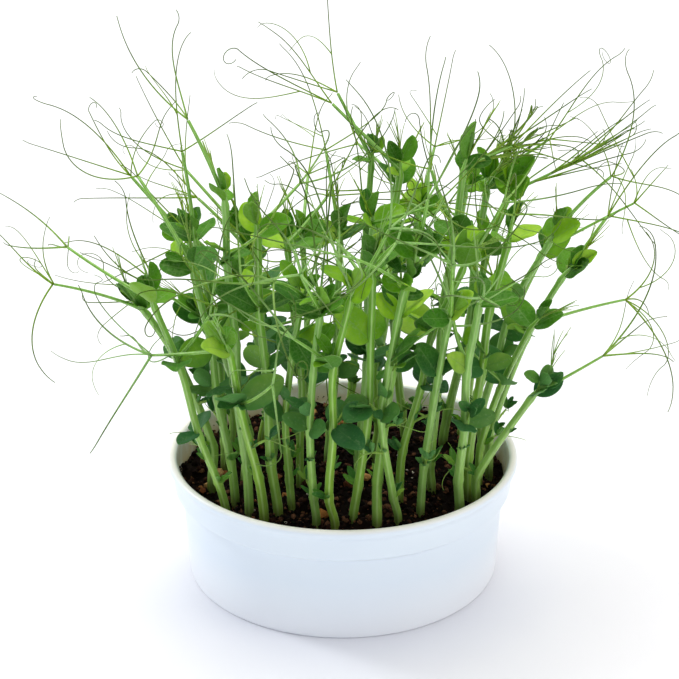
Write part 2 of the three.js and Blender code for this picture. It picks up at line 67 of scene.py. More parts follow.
class Vec(NamedTuple):
    """A point or direction in millimetres, in double precision."""

    x: float
    y: float
    z: float

    def plus(self, other: Vec, scale: float = 1.0) -> Vec:
        """Returns this point moved by scale times the other."""
        return Vec(self.x + other.x * scale, self.y + other.y * scale, self.z + other.z * scale)

    def minus(self, other: Vec) -> Vec:
        """Returns the difference of two points."""
        return Vec(self.x - other.x, self.y - other.y, self.z - other.z)

    def times(self, scale: float) -> Vec:
        """Returns this vector scaled."""
        return Vec(self.x * scale, self.y * scale, self.z * scale)

    def dot(self, other: Vec) -> float:
        """Returns the dot product."""
        return self.x * other.x + self.y * other.y + self.z * other.z

    def cross(self, other: Vec) -> Vec:
        """Returns the cross product.

        Args:
            other: The vector to multiply by.

        Returns:
            The vector square to both.
        """
        return Vec(
            self.y * other.z - self.z * other.y,
            self.z * other.x - self.x * other.z,
            self.x * other.y - self.y * other.x,
        )

    def length(self) -> float:
        """Returns the vector's length."""
        return math.sqrt(self.x * self.x + self.y * self.y + self.z * self.z)

    def unit(self) -> Vec:
        """Returns the unit vector along this one."""
        return self.times(1.0 / (self.length() or 1.0))

    def towards(self, other: Vec, share: float) -> Vec:
        """Returns the point at a share of the way to the other."""
        return self.plus(other.minus(self), share)

    def distance(self, other: Vec) -> float:
        """Returns the distance to the other point."""
        return self.minus(other).length()

    def turned(self, axis: Vec, angle: float) -> Vec:
        """Returns this vector turned about a unit axis.

        Args:
            axis: The unit axis.
            angle: The turn in radians.

        Returns:
            The turned vector.
        """
        s, w = math.sin(angle / 2), math.cos(angle / 2)
        qx, qy, qz = axis.x * s, axis.y * s, axis.z * s
        tx = 2 * (qy * self.z - qz * self.y)
        ty = 2 * (qz * self.x - qx * self.z)
        tz = 2 * (qx * self.y - qy * self.x)
        return Vec(
            self.x + w * tx + qy * tz - qz * ty,
            self.y + w * ty + qz * tx - qx * tz,
            self.z + w * tz + qx * ty - qy * tx,
        )


def mix(a: float, b: float, t: float) -> float:
    """Returns the value at a share t of the way from a to b."""
    return a + (b - a) * t


def heading(azimuth: float, elevation: float) -> Vec:
    """Returns the unit vector at an azimuth from +X and an elevation, both in degrees."""
    a, e = azimuth * math.pi / 180, elevation * math.pi / 180
    return Vec(math.cos(a) * math.cos(e), math.sin(a) * math.cos(e), math.sin(e))


class Kind(Enum):
    """What a stream of draws is for."""

    STEM = 0
    BLADE = 1
    STALK = 2
    TENDRIL = 3
    SPRAY = 4
    APEX = 5
    SCALE = 6
    LOOK = 7
    AXIL = 8


class Draws:
    """Seeded draws, the same on every run."""

    def __init__(self, shoot: int, organ: int, kind: Kind) -> None:
        """Seeds the draws for one organ of one shoot.

        Args:
            shoot: The shoot's index.
            organ: The organ's number in its shoot.
            kind: What the draws are for.
        """
        self.state = 7919 * (shoot + 1) + 104729 * (organ + 1) + 1299709 * (kind.value + 1)
        for _ in range(4):
            self.next()

    def next(self) -> float:
        """Returns the next draw from 0 to 1."""
        self.state = (self.state * 48271) % 2147483647
        return self.state / 2147483647

    def between(self, low: float, high: float) -> float:
        """Returns a draw between two limits."""
        return low + (high - low) * self.next()

    def vector(self) -> Vec:
        """Returns a vector whose parts are each drawn from -1 to 1."""
        return Vec(*(self.between(-1, 1) for _ in range(3)))


# ---- Sizes of the tub, the mix and the organs, in millimetres ----


@dataclass(frozen=True)
class Sizes:
    """The measures that the growth rule and the tub share."""

    height: float = 50
    lip_radius: float = 70
    band_radius: float = 67.8
    wall_top_radius: float = 64.8
    base_radius: float = 62.9
    step_height: float = 36
    wall: float = 1.5
    floor: float = 2.2
    level: float = 38
    mix_gap: float = 0.3
    mound: float = 2
    relief: float = 0.9
    root_depth: float = 9
    collar: float = 4
    across: float = 131
    deep: float = 126
    high: float = 230
    gap: float = 0.3
    stem_clear: float = 1.75
    blade_clear: float = 1.35
    stalk_clear: float = 1.15
    tendril_clear: float = 0.95
    cell: float = 4.5
    blade_step: float = 2.6
    path_step: float = 1.9
    stem_base: float = 1.8
    stem_top: float = 1.25
    stem_step: float = 2.5
    kink: float = 1.3
    low_kink: float = 1.2
    lean: tuple[float, float] = (0, 0.32)
    aside: float = 7
    scale_node: float = 18
    node_first: float = 7
    node_pitch: float = 27
    node_lowest: float = 38
    node_rise: float = 2
    stalked: int = 2
    light_azimuth: float = 262
    light_elevation: float = 34
    light_share: float = 0.55
    stalk_radius: float = 0.85
    stalk_end: float = 0.6
    stalk_steps: int = 12
    stalk_shortest: float = 24
    stalk_longest: float = 40
    stalk_spans: int = 1
    stalk_lift: float = 1.6
    tendril_steps: int = 24
    tendril_shortest: float = 34
    tendril_longest: float = 50
    tendril_spans: int = 3
    tendril_fingers: int = 3
    hub_height: float = 0.9
    hub_clearance: float = 5
    blade_shortest: float = 13
    blade_longest: float = 20
    breadth: float = 0.345
    leaf_sizes: tuple[float, ...] = (0.82, 1, 0.78)
    leaf_sags: tuple[float, ...] = (0, 4, 24)
    leggy_height: float = 161.5
    leggy_leaf: float = 0.62
    inset: float = 0.65


SIZE = Sizes()

# One row for each shoot: where it leaves the mix (x, y), where its tip is (x, y, z), the way that its
# topmost stalk points, in degrees from +X, and, for the stalks that stand out, the point where it ends.
SHOOTS: tuple[tuple[float, ...], ...] = (
    (-45, -37, -69, -45, 134, 155, -102, -20, 142),
    (-42, -27, -55, -31, 141, 140, -76, -8, 166),
    (-36, -36, -43, -30, 168, 130, -55, -25, 192),
    (-30, -42, -41, -68, 124, 150, -67, -47, 107),
    (-25, -36, -31, -37, 158, 60, -16, -18, 166),
    (-20, -31, -13, -50, 137, 250),
    (-10, -46, -7, -66, 138, 262, -14, -82, 154),
    (-3, -48, 3, -70, 145, 15),
    (4, -43, 10, -58, 150, 290, 17, -76, 166),
    (-52, -14, -79, -22, 122, 188),
    (-39, -8, -54, -4, 110, 205),
    (-29, -3, -41, 3, 122, 165),
    (-17, -13, -22, -11, 143, 60, -6, 4, 154),
    (-48, 3, -58, 7, 140, 95, -60, 0, 173),
    (-6, 8, -1, 13, 138, 80),
    (6, -18, 11, -23, 156, 300),
    (13, 10, 22, 16, 165, 165, -4, 25, 185),
    (13, -46, 26, -60, 158, 300, 29, -62, 174),
    (21, -43, 23, -58, 146, 220),
    (30, -36, 39, -56, 132, 280),
    (22, -27, 45, -37, 145, 5),
    (35, -18, 46, -10, 174, 45, 63, -2, 176),
    (52, -27, 75, -35, 93, 350, 97, -31, 103),
    (45, -35, 48, -58, 138, 300, 47, -82, 146),
    (49, -22, 61, -28, 152, 300, 60, -46, 163),
    (54, -13, 74, -26, 117, 40, 108, -8, 117),
    (59, -3, 88, -8, 131, 30, 101, 2, 147),
    (57, 8, 84, 15, 138, 12),
    (53, 20, 66, 26, 152, 12, 93, 28, 162),
    (26, 29, 22, 39, 153, 110),
    (42, 24, 57, 31, 154, 330, 73, 18, 171),
    (-18, 29, -17, 41, 127, 92),
    (-34, 24, -37, 37, 122, 150),
    (2, 42, 12, 38, 162, 100, -2, 42, 185),
    (18, 45, 33, 57, 135, 70),
    (38, 41, 50, 53, 146, 350, 82, 38, 167),
    (50, 30, 84, 31, 127, 20),
    (-30, 43, -44, 58, 126, 138),
    (-46, 20, -64, 28, 133, 172),
)


# ---- Growth: where every organ of every shoot goes ----


@dataclass
class Path:
    """A stalk or tendril: its curve's points, the way that it ends, and the spheres that stand for it."""

    points: list[Vec]
    way: Vec
    spheres: list[Vec]
    joined: int
    finger: int = 0

    def along(self, i: int) -> Vec:
        """Returns the unit heading from a point to the next."""
        return self.points[i + 1].minus(self.points[i]).unit()


@dataclass
class Blade:
    """A stipule or other leaf: its midrib, its width and how it folds and droops."""

    root: Vec
    axis: Vec
    side: Vec
    normal: Vec
    length: float
    half: float
    fold: float
    droop: float
    spheres: list[Vec] = field(default_factory=list)
    joined: int = 0

    def point(self, u: float, v: float, lift: float = 0.0) -> Vec:
        """Returns a point of the blade.

        Args:
            u: The share along the midrib, from 0 to 1.
            v: The share across, from -1 to 1.
            lift: The height off the blade's middle surface.

        Returns:
            The point, in millimetres.
        """
        half = self.half * blade_outline(u) * v
        rise = self.fold * abs(half) - self.droop * self.length * u * u + lift
        spine = self.root.plus(self.axis, SIZE.inset + self.length * u)
        return spine.plus(self.side, half).plus(self.normal, rise)


@dataclass
class Node:
    """A node of a stem, with what grows from it."""

    t: float
    leafy: bool
    # Its number among the leafy nodes, counted from the top and from the bottom.
    rank: int = 0
    place: int = 0
    point: Vec = Vec(0, 0, 0)
    azimuth: float = 0.0
    upward: Vec = Vec(0, 0, 1)
    socket: Vec = Vec(0, 0, 0)
    blades: list[Blade] = field(default_factory=list)
    stalk: Optional[Path] = None
    tendrils: list[Path] = field(default_factory=list)


@dataclass
class Plant:
    """One shoot: its stem's points and its nodes."""

    shoot: int
    nodes: list[Node]
    tip: Vec
    collar: Vec
    length: float
    hub: Optional[Vec]
    points: list[Vec]
    spheres: list[Vec]
    joined: int = 0

    def leafy(self) -> list[Node]:
        """Returns the nodes that bear stipules, from the lowest up."""
        return [node for node in self.nodes if node.leafy]


Organ = TypeVar("Organ", Path, Blade, Plant)


def blade_outline(u: float) -> float:
    """Returns how wide a stipule is at u along its midrib, as a share of its widest."""
    return math.pow(max(0.0, math.sin(math.pi * math.pow(u, 0.94))), 0.53)


Claim = tuple[float, float, float, float, int, Optional[str]]


class Crowd:
    """Spheres that stand for what has grown so far, so that what grows next can be turned clear of it."""

    def __init__(self) -> None:
        """Starts with an empty tub."""
        self.cells: dict[tuple[int, int, int], list[Claim]] = {}

    @staticmethod
    def cell(p: Vec) -> tuple[int, int, int]:
        """Returns the cell that a point is in."""
        return math.floor(p.x / SIZE.cell), math.floor(p.y / SIZE.cell), math.floor(p.z / SIZE.cell)

    @staticmethod
    def fits(p: Vec, radius: float) -> bool:
        """Tells whether a sphere stays in the shoots' reach and off the tub and the mix.

        Args:
            p: The sphere's middle.
            radius: Its radius.

        Returns:
            True if it does.
        """
        if math.hypot(p.x / SIZE.across, p.y / SIZE.deep) >= 1 or p.z + radius >= SIZE.high:
            return False
        out = math.hypot(p.x, p.y) + radius
        low = p.z - radius
        return not (low < SIZE.level + SIZE.mound + 1 or (low < SIZE.height + 1 and out > SIZE.base_radius))

    def free(self, p: Vec, radius: float, shoot: int, hub: Optional[str]) -> bool:
        """Tells whether a sphere is clear of all other shoots, and of its hub's other tendrils.

        Args:
            p: The sphere's middle.
            radius: Its radius.
            shoot: The index of its shoot.
            hub: The hub that it belongs to, for a tendril.

        Returns:
            True if it is.
        """
        for x, y, z, other_radius, other_shoot, other_hub in self.cells.get(self.cell(p), ()):
            if other_shoot != shoot or (hub and other_hub == hub):
                dx, dy, dz = x - p.x, y - p.y, z - p.z
                if math.sqrt(dx * dx + dy * dy + dz * dz) < other_radius + radius + SIZE.gap:
                    return False
        return True

    def settle(
        self, tries: int, radius: float, shoot: int, make: Callable[[int], Organ], hub: Optional[str] = None
    ) -> Optional[Organ]:
        """Tries make(0), make(1), ... until one is clear, and claims its space.

        Args:
            tries: The most attempts.
            radius: The radius of the organ's spheres.
            shoot: The shoot's index.
            make: Makes the organ for an attempt's number.
            hub: The hub that the organ leaves, for tendrils.

        Returns:
            The organ, or None if none was clear.
        """
        for attempt in range(tries):
            organ = make(attempt)
            hubs = [None] * organ.joined + [hub] * len(organ.spheres)
            spheres = [(p, radius, shoot, own) for p, own in zip(organ.spheres, hubs)]
            if all(self.fits(p, radius) and self.free(p, *claim) for p, *claim in spheres):
                for sphere in spheres:
                    self.claim(*sphere)
                return organ
        return None

    def claim(self, p: Vec, radius: float, shoot: int, hub: Optional[str]) -> None:
        """Puts a sphere in its cell and the cells round it.

        Args:
            p: The sphere's middle.
            radius: Its radius.
            shoot: The index of its shoot.
            hub: The hub that it belongs to, for a tendril.
        """
        cx, cy, cz = self.cell(p)
        entry = (p.x, p.y, p.z, radius, shoot, hub)
        for i in (-1, 0, 1):
            for j in (-1, 0, 1):
                for k in (-1, 0, 1):
                    self.cells.setdefault((cx + i, cy + j, cz + k), []).append(entry)


def grow_stem(row: Sequence[float], shoot: int, draws: Draws, attempt: int) -> Plant:
    """Grows one stem, with its nodes from the collar to the tip.

    Args:
        row: The shoot's row of the plan.
        shoot: The shoot's index.
        draws: The stem's draws, which go on from attempt to attempt.
        attempt: How many attempts came before, which lets the stem stray further.

    Returns:
        The plant, with bare nodes.
    """
    base_x, base_y, tip_x, tip_y, tip_z, facing, *hub = row
    stray = 0.6 * attempt
    base = Vec(base_x, base_y, SIZE.level)
    tip = Vec(*(value + draws.between(-stray, stray) for value in (tip_x, tip_y, tip_z)))
    lean = draws.between(*SIZE.lean)
    aside = SIZE.aside + stray
    middle = Vec(
        mix(base_x, tip.x, lean) + draws.between(-aside, aside),
        mix(base_y, tip.y, lean) + draws.between(-aside, aside),
        mix(SIZE.level, tip.z, 0.52),
    )
    length = base.distance(tip)
    leafy: list[float] = []
    down = SIZE.node_first
    while length - down > SIZE.node_lowest:
        leafy.insert(0, down)
        down += SIZE.node_pitch
    nodes = [Node((SIZE.scale_node + draws.between(-6, 6)) / length, False)]
    for i, down in enumerate(leafy):
        sway = draws.between(-4, 4) if down > SIZE.node_first else 0
        nodes.append(Node(1 - (down + sway) / length, True, len(leafy) - 1 - i, i))
    across = heading(facing, 0)
    for i, node in enumerate(nodes):
        t = node.t
        spot = base.times((1 - t) * (1 - t)).plus(middle, 2 * (1 - t) * t).plus(tip, t * t)
        kink = (SIZE.kink if node.leafy else SIZE.low_kink) * (1 - t * 0.5)
        node.point = spot.plus(across, kink if i % 2 else -kink)
        node.azimuth = facing + 180 * (len(nodes) - 1 - i) + draws.between(-22, 22)
    collar = Vec(base_x, base_y, SIZE.level + SIZE.collar)
    points = [collar, *[node.point for node in nodes], tip]
    for i, node in enumerate(nodes):
        node.upward = points[i + 2].minus(node.point).unit()
        node.socket = node.point.plus(node.upward, SIZE.node_rise)
    spheres = []
    for start, end in zip(points, points[1:]):
        steps = math.ceil(start.distance(end) / SIZE.stem_step)
        spheres.extend(start.towards(end, k / steps) for k in range(steps))
    spheres = [p for p in spheres if p.z > SIZE.level + 6]
    return Plant(shoot, nodes, tip, collar, length, Vec(*hub) if hub else None, points, spheres)


def roll_to_light(axis: Vec, side: Vec) -> float:
    """Finds the roll about its midrib that turns a level blade's face most to the light.

    Args:
        axis: The midrib's unit heading.
        side: The level unit heading across it.

    Returns:
        The roll, in degrees.
    """
    light = heading(SIZE.light_azimuth, SIZE.light_elevation)
    face = side.cross(axis)
    return (math.atan(side.dot(light) / face.dot(light)) * 180) / math.pi


def grow_blade(
    root: Vec, azimuth: float, elevation: float, roll: float, length: float, fold: float, droop: float
) -> Blade:
    """Grows one blade that leaves root at an azimuth and elevation, rolled part of the way to the light.

    Args:
        root: Where the blade leaves its stem.
        azimuth: Its midrib's direction from +X, in degrees.
        elevation: Its midrib's rise, in degrees.
        roll: How much further it is rolled about the midrib, in degrees.
        length: The midrib's length.
        fold: How steeply its halves fold up.
        droop: How far its tip droops, as a share of the length.

    Returns:
        The blade, with the spheres that stand for it.
    """
    axis = heading(azimuth, elevation)
    level = Vec(axis.y, -axis.x, 0).unit()
    side = level.turned(axis, (SIZE.light_share * roll_to_light(axis, level) + roll) * math.pi / 180)
    blade = Blade(root, axis, side, side.cross(axis), length, SIZE.breadth * length, fold, droop)
    rows = math.ceil(length / SIZE.blade_step)
    for i in range(1, rows + 1):
        u = mix(0.1, 0.97, (i - 1) / (rows - 1))
        half = blade.half * blade_outline(u)
        columns = max(1, math.ceil((2 * half) / SIZE.blade_step))
        blade.spheres.extend(blade.point(u, (2 * k) / columns - 1) for k in range(columns + 1))
    return blade


def sweep(
    start: Vec, along: Vec, axis: Vec, length: float, turn: float, curl: float, steps: int, spans: int
) -> Path:
    """Makes a path that sets out along a heading and turns about an axis, more and more towards its end.

    Args:
        start: The path's first point.
        along: The unit heading that it sets out on.
        axis: The unit axis that it turns about.
        length: The path's length.
        turn: The even part of its turn, in radians.
        curl: The part that comes near its end, in radians.
        steps: How many steps the curve has.
        spans: How many straight spans its solid has.

    Returns:
        The path.
    """
    points, way = [start], along
    for i in range(steps):
        share = i / steps
        way = way.turned(axis, (turn + 3 * curl * share * share) / steps)
        points.append(points[i].plus(way, length / steps))
    joints = [p for i, p in enumerate(points) if (i * spans) % steps == 0]
    spheres: list[Vec] = []
    for first, second in zip(joints, joints[1:]):
        count = math.ceil(first.distance(second) / SIZE.path_step)
        spheres.extend(first.towards(second, k / count) for k in range(1, count + 1))
    joined = sum(1 for p in spheres if p.distance(start) < SIZE.hub_clearance)
    return Path(points, way, spheres, joined)


def grow_leaf(crowd: Crowd, plant: Plant, node: Node) -> None:
    """Grows the pair of stipules of a leafy node.

    Args:
        crowd: What has grown so far.
        plant: The shoot.
        node: The leafy node.
    """
    for hand in (-1, 1):
        draws = Draws(plant.shoot, 2 * node.place + (1 if hand > 0 else 0), Kind.BLADE)
        age = min(node.rank, len(SIZE.leaf_sizes) - 1)
        size = SIZE.leaf_sizes[age] * (SIZE.leggy_leaf if plant.tip.z > SIZE.leggy_height else 1)

        def make(attempt: int) -> Blade:
            """Grows the blade of one attempt.

            Args:
                attempt: The attempt's number.

            Returns:
                The blade.
            """
            azimuth = node.azimuth + hand * draws.between(48, 82) + draws.between(-1.2, 1.2) * attempt
            elevation = draws.between(12, 58) - SIZE.leaf_sags[age] + draws.between(-0.6, 0.9) * attempt
            roll = hand * draws.between(-34, 34)
            length = size * draws.between(SIZE.blade_shortest, SIZE.blade_longest) * (1 - 0.011 * attempt)
            fold, droop = draws.between(0.08, 0.34), draws.between(-0.08, 0.2)
            return grow_blade(node.socket, azimuth, elevation, roll, length, fold, droop)

        blade = crowd.settle(40, SIZE.blade_clear, plant.shoot, make)
        if blade:
            node.blades.append(blade)


def grow_stalk(crowd: Crowd, plant: Plant, node: Node) -> None:
    """Grows the stalk of a leafy node, which ends in the hub that its tendrils leave.

    Args:
        crowd: What has grown so far.
        plant: The shoot.
        node: The leafy node.
    """
    draws = Draws(plant.shoot, node.place, Kind.STALK)
    start = node.socket.plus(node.upward, SIZE.stalk_lift)
    goal = plant.hub if node.rank == 0 else None

    def make(attempt: int) -> Path:
        """Grows the stalk of one attempt.

        Args:
            attempt: The attempt's number.

        Returns:
            The stalk.
        """
        if goal:
            stray = 0.5 * attempt
            end = Vec(*(value + draws.between(-stray, stray) for value in goal))
            way = end.minus(start)
            level = heading((math.atan2(way.y, way.x) * 180) / math.pi + 90, 0)
            bow = draws.between(-0.2, 0.2)
            along = way.unit().turned(level, -bow / 2)
            return sweep(start, along, level, way.length(), bow, 0, SIZE.stalk_steps, SIZE.stalk_spans)
        azimuth = node.azimuth + draws.between(-1, 1) * (8 + 1.6 * attempt)
        elevation = draws.between(22, 58) + draws.between(-0.5, 0.8) * attempt
        reach = draws.between(SIZE.stalk_shortest, SIZE.stalk_longest)
        length = reach * (1 - 0.012 * attempt) * (0.85 if node.rank else 1)
        bow = draws.between(-0.45, 0.35)
        level = heading(azimuth + 90, 0)
        along = heading(azimuth, elevation)
        return sweep(start, along, level, length, bow, 0, SIZE.stalk_steps, SIZE.stalk_spans)

    node.stalk = crowd.settle(50, SIZE.stalk_clear, plant.shoot, make)


def grow_tendril(crowd: Crowd, plant: Plant, node: Node, finger: int) -> None:
    """Grows one tendril from a stalk's hub: the first near the stalk's line, the others evenly round it.

    Args:
        crowd: What has grown so far.
        plant: The shoot.
        node: The stalk's node.
        finger: Which of the hub's tendrils it is.
    """
    draws = Draws(plant.shoot, 8 * node.place + finger, Kind.TENDRIL)
    way = node.stalk.way
    hub = node.stalk.points[-1].plus(way, SIZE.hub_height / 2)
    level = Vec(way.y, -way.x, 0.001).unit()

    def make(attempt: int) -> Path:
        """Grows the tendril of one attempt.

        Args:
            attempt: The attempt's number.

        Returns:
            The tendril.
        """
        around = finger * 120 + draws.between(-32, 32)
        spread = (draws.between(6, 24) if finger == 0 else draws.between(30, 78)) + 0.3 * attempt
        axis = level.turned(way, around * math.pi / 180)
        along = way.turned(axis, spread * math.pi / 180)
        length = draws.between(SIZE.tendril_shortest, SIZE.tendril_longest) * (1 - 0.013 * attempt)
        twist = axis.turned(along, draws.between(-1.2, 1.2))
        turn = draws.between(-0.9, 0.7)
        curl = draws.between(-1, 1)
        return sweep(hub, along, twist, length, turn, curl, SIZE.tendril_steps, SIZE.tendril_spans)

    tendril = crowd.settle(50, SIZE.tendril_clear, plant.shoot, make, f"{plant.shoot}/{node.place}")
    if tendril:
        tendril.finger = finger
        node.tendrils.append(tendril)


def grow_shoots() -> list[Plant]:
    """Grows all the shoots: stems first, then stipules, stalks and tendrils, so that big organs get room.

    Returns:
        The plants, in the order of the plan.
    """
    crowd = Crowd()
    plants: list[Plant] = []
    for shoot, row in enumerate(SHOOTS):
        draws = Draws(shoot, 0, Kind.STEM)
        grow = partial(grow_stem, row, shoot, draws)
        plant = crowd.settle(60, SIZE.stem_clear, shoot, grow)
        if plant:
            plants.append(plant)
    leaves = [(plant, node) for plant in plants for node in plant.leafy()]
    for plant, node in leaves:
        grow_leaf(crowd, plant, node)
    for plant, node in leaves:
        if node.rank < SIZE.stalked:
            grow_stalk(crowd, plant, node)
    for finger in range(SIZE.tendril_fingers):
        for plant, node in leaves:
            if node.stalk and (finger < 2 or node.rank == 0):
                grow_tendril(crowd, plant, node, finger)
    return plants


# ---- Meshes ----


class Slot(Enum):
    """The material slots of a shoot."""

    STEM = 0
    STIPULE = 1
    UNDERSIDE = 2
    TENDRIL = 3


class MeshMaker:
    """Gathers vertices and faces in millimetres, with slots, tints and a map, and makes an object of them."""

    def __init__(self) -> None:
        """Starts an empty mesh."""
        self.vertices: list[Vec] = []
        self.tints: list[float] = []
        self.faces: list[tuple[int, ...]] = []
        self.slots: list[int] = []
        self.maps: list[tuple[float, float]] = []

    def vertex(self, p: Vec, tint: float = 0.5) -> int:
        """Adds a vertex.

        Args:
            p: Its place.
            tint: Its tint, from 0 to 1.

        Returns:
            Its index.
        """
        self.vertices.append(p)
        self.tints.append(tint)
        return len(self.vertices) - 1

    def ring(self, radius: float, sides: int, rise: Callable[[float, float], float]) -> list[int]:
        """Adds a ring of vertices round the tub's axis, or one point of the axis where the radius is 0.

        Args:
            radius: The ring's radius.
            sides: How many vertices it has.
            rise: Gives the height at x and y.

        Returns:
            The vertices' indices, the same one over and over for a point.
        """
        if radius == 0:
            return [self.vertex(Vec(0, 0, rise(0, 0)))] * sides
        turns = [2 * math.pi * k / sides for k in range(sides)]
        spots = [(radius * math.cos(a), radius * math.sin(a)) for a in turns]
        return [self.vertex(Vec(x, y, rise(x, y))) for x, y in spots]

    def face(
        self, corners: Sequence[int], maps: Sequence[tuple[float, float]], slot: int = 0, flip: bool = False
    ) -> None:
        """Adds a face, without the corners that repeat the one before.

        Args:
            corners: The indices of its vertices.
            maps: A map point for each corner.
            slot: Its material slot.
            flip: Whether it's turned over.
        """
        pairs = [pair for n, pair in enumerate(zip(corners, maps)) if corners[n] != corners[n - 1]]
        if flip:
            pairs.reverse()
        self.faces.append(tuple(corner for corner, _ in pairs))
        self.maps.extend(spot for _, spot in pairs)
        self.slots.append(slot)

    def skin(self, rings: Sequence[Sequence[int]], runs: Sequence[float] = (), slot: int = 0) -> None:
        """Joins rings of vertices, each to the next.

        Args:
            rings: The indices of each ring's vertices.
            runs: How far along the map each ring is, if it matters.
            slot: The faces' material slot.
        """
        runs, sides = runs or [0.0] * len(rings), len(rings[0])
        for low, high, near, far in zip(rings, rings[1:], runs, runs[1:]):
            for k in range(sides):
                j = (k + 1) % sides
                a, b = k / sides, (k + 1) / sides
                corners = (low[k], low[j], high[j], high[k])
                self.face(corners, ((a, near), (b, near), (b, far), (a, far)), slot)

    def tube(
        self,
        path: Sequence[Vec],
        radii: Sequence[float],
        sides: int,
        slot: int,
        tint: float,
        ridges: float = 0.0,
        flatness: float = 1.0,
    ) -> None:
        """Adds a closed tube along a path.

        Args:
            path: The tube's centre line.
            radii: One radius for each point.
            sides: How many sides it has.
            slot: Its material slot.
            tint: Its tint, from 0 to 1.
            ridges: How much its four ridges stand out, as a share of the radius.
            flatness: How thick it is across one way, as a share of the other.
        """
        first = path[1].minus(path[0]).unit()
        across = Vec(1, 0, 0) if abs(first.x) < 0.8 else Vec(0, 1, 0)
        rings, runs, run = [], [], 0.0
        for i, p in enumerate(path):
            along = path[min(i + 1, len(path) - 1)].minus(path[max(i - 1, 0)]).unit()
            across = across.plus(along, -across.dot(along)).unit()
            up = along.cross(across)
            run += p.distance(path[i - 1]) if i else 0.0
            runs.append(run)
            ring = []
            for k in range(sides):
                turn = 2 * math.pi * k / sides
                radius = radii[i] * (1 + ridges * math.cos(4 * turn))
                spot = p.plus(across, radius * math.cos(turn)).plus(up, radius * flatness * math.sin(turn))
                ring.append(self.vertex(spot, tint))
            rings.append(ring)
        self.skin(rings, runs, slot)
        self.face(rings[0][::-1], [(0.5, 0.0)] * sides, slot)
        self.face(rings[-1], [(0.5, run)] * sides, slot)

    def blade(self, blade: Blade, rows: int, columns: int, thickness: float, draws: Draws) -> None:
        """Adds a thin closed blade with a midrib, wavy margins and separate slots for its two sides.

        Args:
            blade: The blade to follow.
            rows: How many rows it has along the midrib.
            columns: How many columns it has across, an even number.
            thickness: Its thickness at the midrib.
            draws: The draws for its waves and tint.
        """
        tint = draws.next()
        waves, phase, height = draws.between(1.2, 2.6), draws.between(0, 6.28), draws.between(0.1, 0.45)
        us = [0.5 - 0.5 * math.cos(math.pi * i / rows) for i in range(rows + 1)]
        vs = [math.sin(math.pi / 2 * (2 * j / columns - 1)) for j in range(columns + 1)]
        upper: list[list[int]] = []
        for sign, slot in ((1, Slot.STIPULE.value), (-1, Slot.UNDERSIDE.value)):
            grid: list[list[int]] = []
            for i, u in enumerate(us):
                line: list[int] = []
                for j, v in enumerate(vs):
                    end, edge = i in (0, rows), j in (0, columns)
                    if sign < 0 and (edge or end):
                        line.append(upper[i][j])
                    elif end and j:
                        line.append(line[0])
                    else:
                        # The margins wave, and the midrib lies in a shallow groove.
                        swing = math.sin(2 * math.pi * waves * u + phase + (1.7 if v > 0 else 0))
                        groove = -0.22 * math.exp(-((v * blade.half * blade_outline(u) / 0.7) ** 2)) * (1 - u)
                        body = 0.0 if edge else sign * thickness / 2 * (1 - 0.7 * v * v)
                        lift = height * abs(v) ** 2.5 * swing + groove + body
                        line.append(self.vertex(blade.point(u, v, lift), tint))
                grid.append(line)
            upper = upper or grid
            for i in range(rows):
                for j in range(columns):
                    steps = ((i, j), (i, j + 1), (i + 1, j + 1), (i + 1, j))
                    maps = [(us[row], 0.5 + vs[column] / 2) for row, column in steps]
                    self.face([grid[row][column] for row, column in steps], maps, slot, flip=sign < 0)

    def make(
        self, name: str, materials: Sequence[bpy.types.Material], smooth: bool = True
    ) -> bpy.types.Object:
        """Makes the object, with its faces turned outward.

        Args:
            name: The object's name.
            materials: One material for each slot.
            smooth: Whether its faces are shaded smooth.

        Returns:
            The object, linked to the scene.
        """
        mesh = bpy.data.meshes.new(name)
        mesh.from_pydata([p.times(MM) for p in self.vertices], [], self.faces)
        mesh.polygons.foreach_set("material_index", self.slots)
        mesh.polygons.foreach_set("use_smooth", [smooth] * len(self.faces))
        layer = mesh.uv_layers.new(name="Map")
        layer.data.foreach_set("uv", [value for pair in self.maps for value in pair])
        tint = mesh.attributes.new("tint", "FLOAT", "POINT")
        tint.data.foreach_set("value", self.tints)
        for material in materials:
            mesh.materials.append(material)
        mesh.update()
        piece = bpy.data.objects.new(name, mesh)
        bpy.context.scene.collection.objects.link(piece)
        return piece


def smooth_path(points: Sequence[Vec], per: int) -> list[Vec]:
    """Runs a smooth curve through points.

    Args:
        points: The points that it passes through.
        per: How many steps each span has.

    Returns:
        The curve's points.
    """
    path = []
    for i, (a, b) in enumerate(zip(points, points[1:])):
        before = points[i - 1] if i else a.plus(a.minus(b))
        after = points[i + 2] if i + 2 < len(points) else b.plus(b.minus(a))
        reach = a.distance(b)
        go_a = b.minus(before).times(reach / (a.distance(before) + reach))
        go_b = after.minus(a).times(reach / (b.distance(after) + reach))
        for k in range(per):
            t = k / per
            h = t * t * (3 - 2 * t)
            straight = a.times(1 - h).plus(b, h)
            path.append(straight.plus(go_a, t * (1 - t) ** 2 * 0.9).plus(go_b, -t * t * (1 - t) * 0.9))
    return [*path, points[-1]]


# ---- Materials ----


def linear(code: str) -> tuple[float, float, float, float]:
    """Turns an sRGB hex colour to a linear one.

    Args:
        code: The colour, as # and six digits.

    Returns:
        Its linear red, green, blue and alpha.
    """
    values = [int(code[i : i + 2], 16) / 255 for i in (1, 3, 5)]
    red, green, blue = (v / 12.92 if v <= 0.04045 else ((v + 0.055) / 1.055) ** 2.4 for v in values)
    return red, green, blue, 1.0


def per_metre(size_mm: float) -> float:
    """Returns the scale of a pattern whose marks are a size in millimetres apart."""
    return 1000.0 / size_mm


Stops = tuple[tuple[float, str], ...]
Inputs = dict[str | int, object]


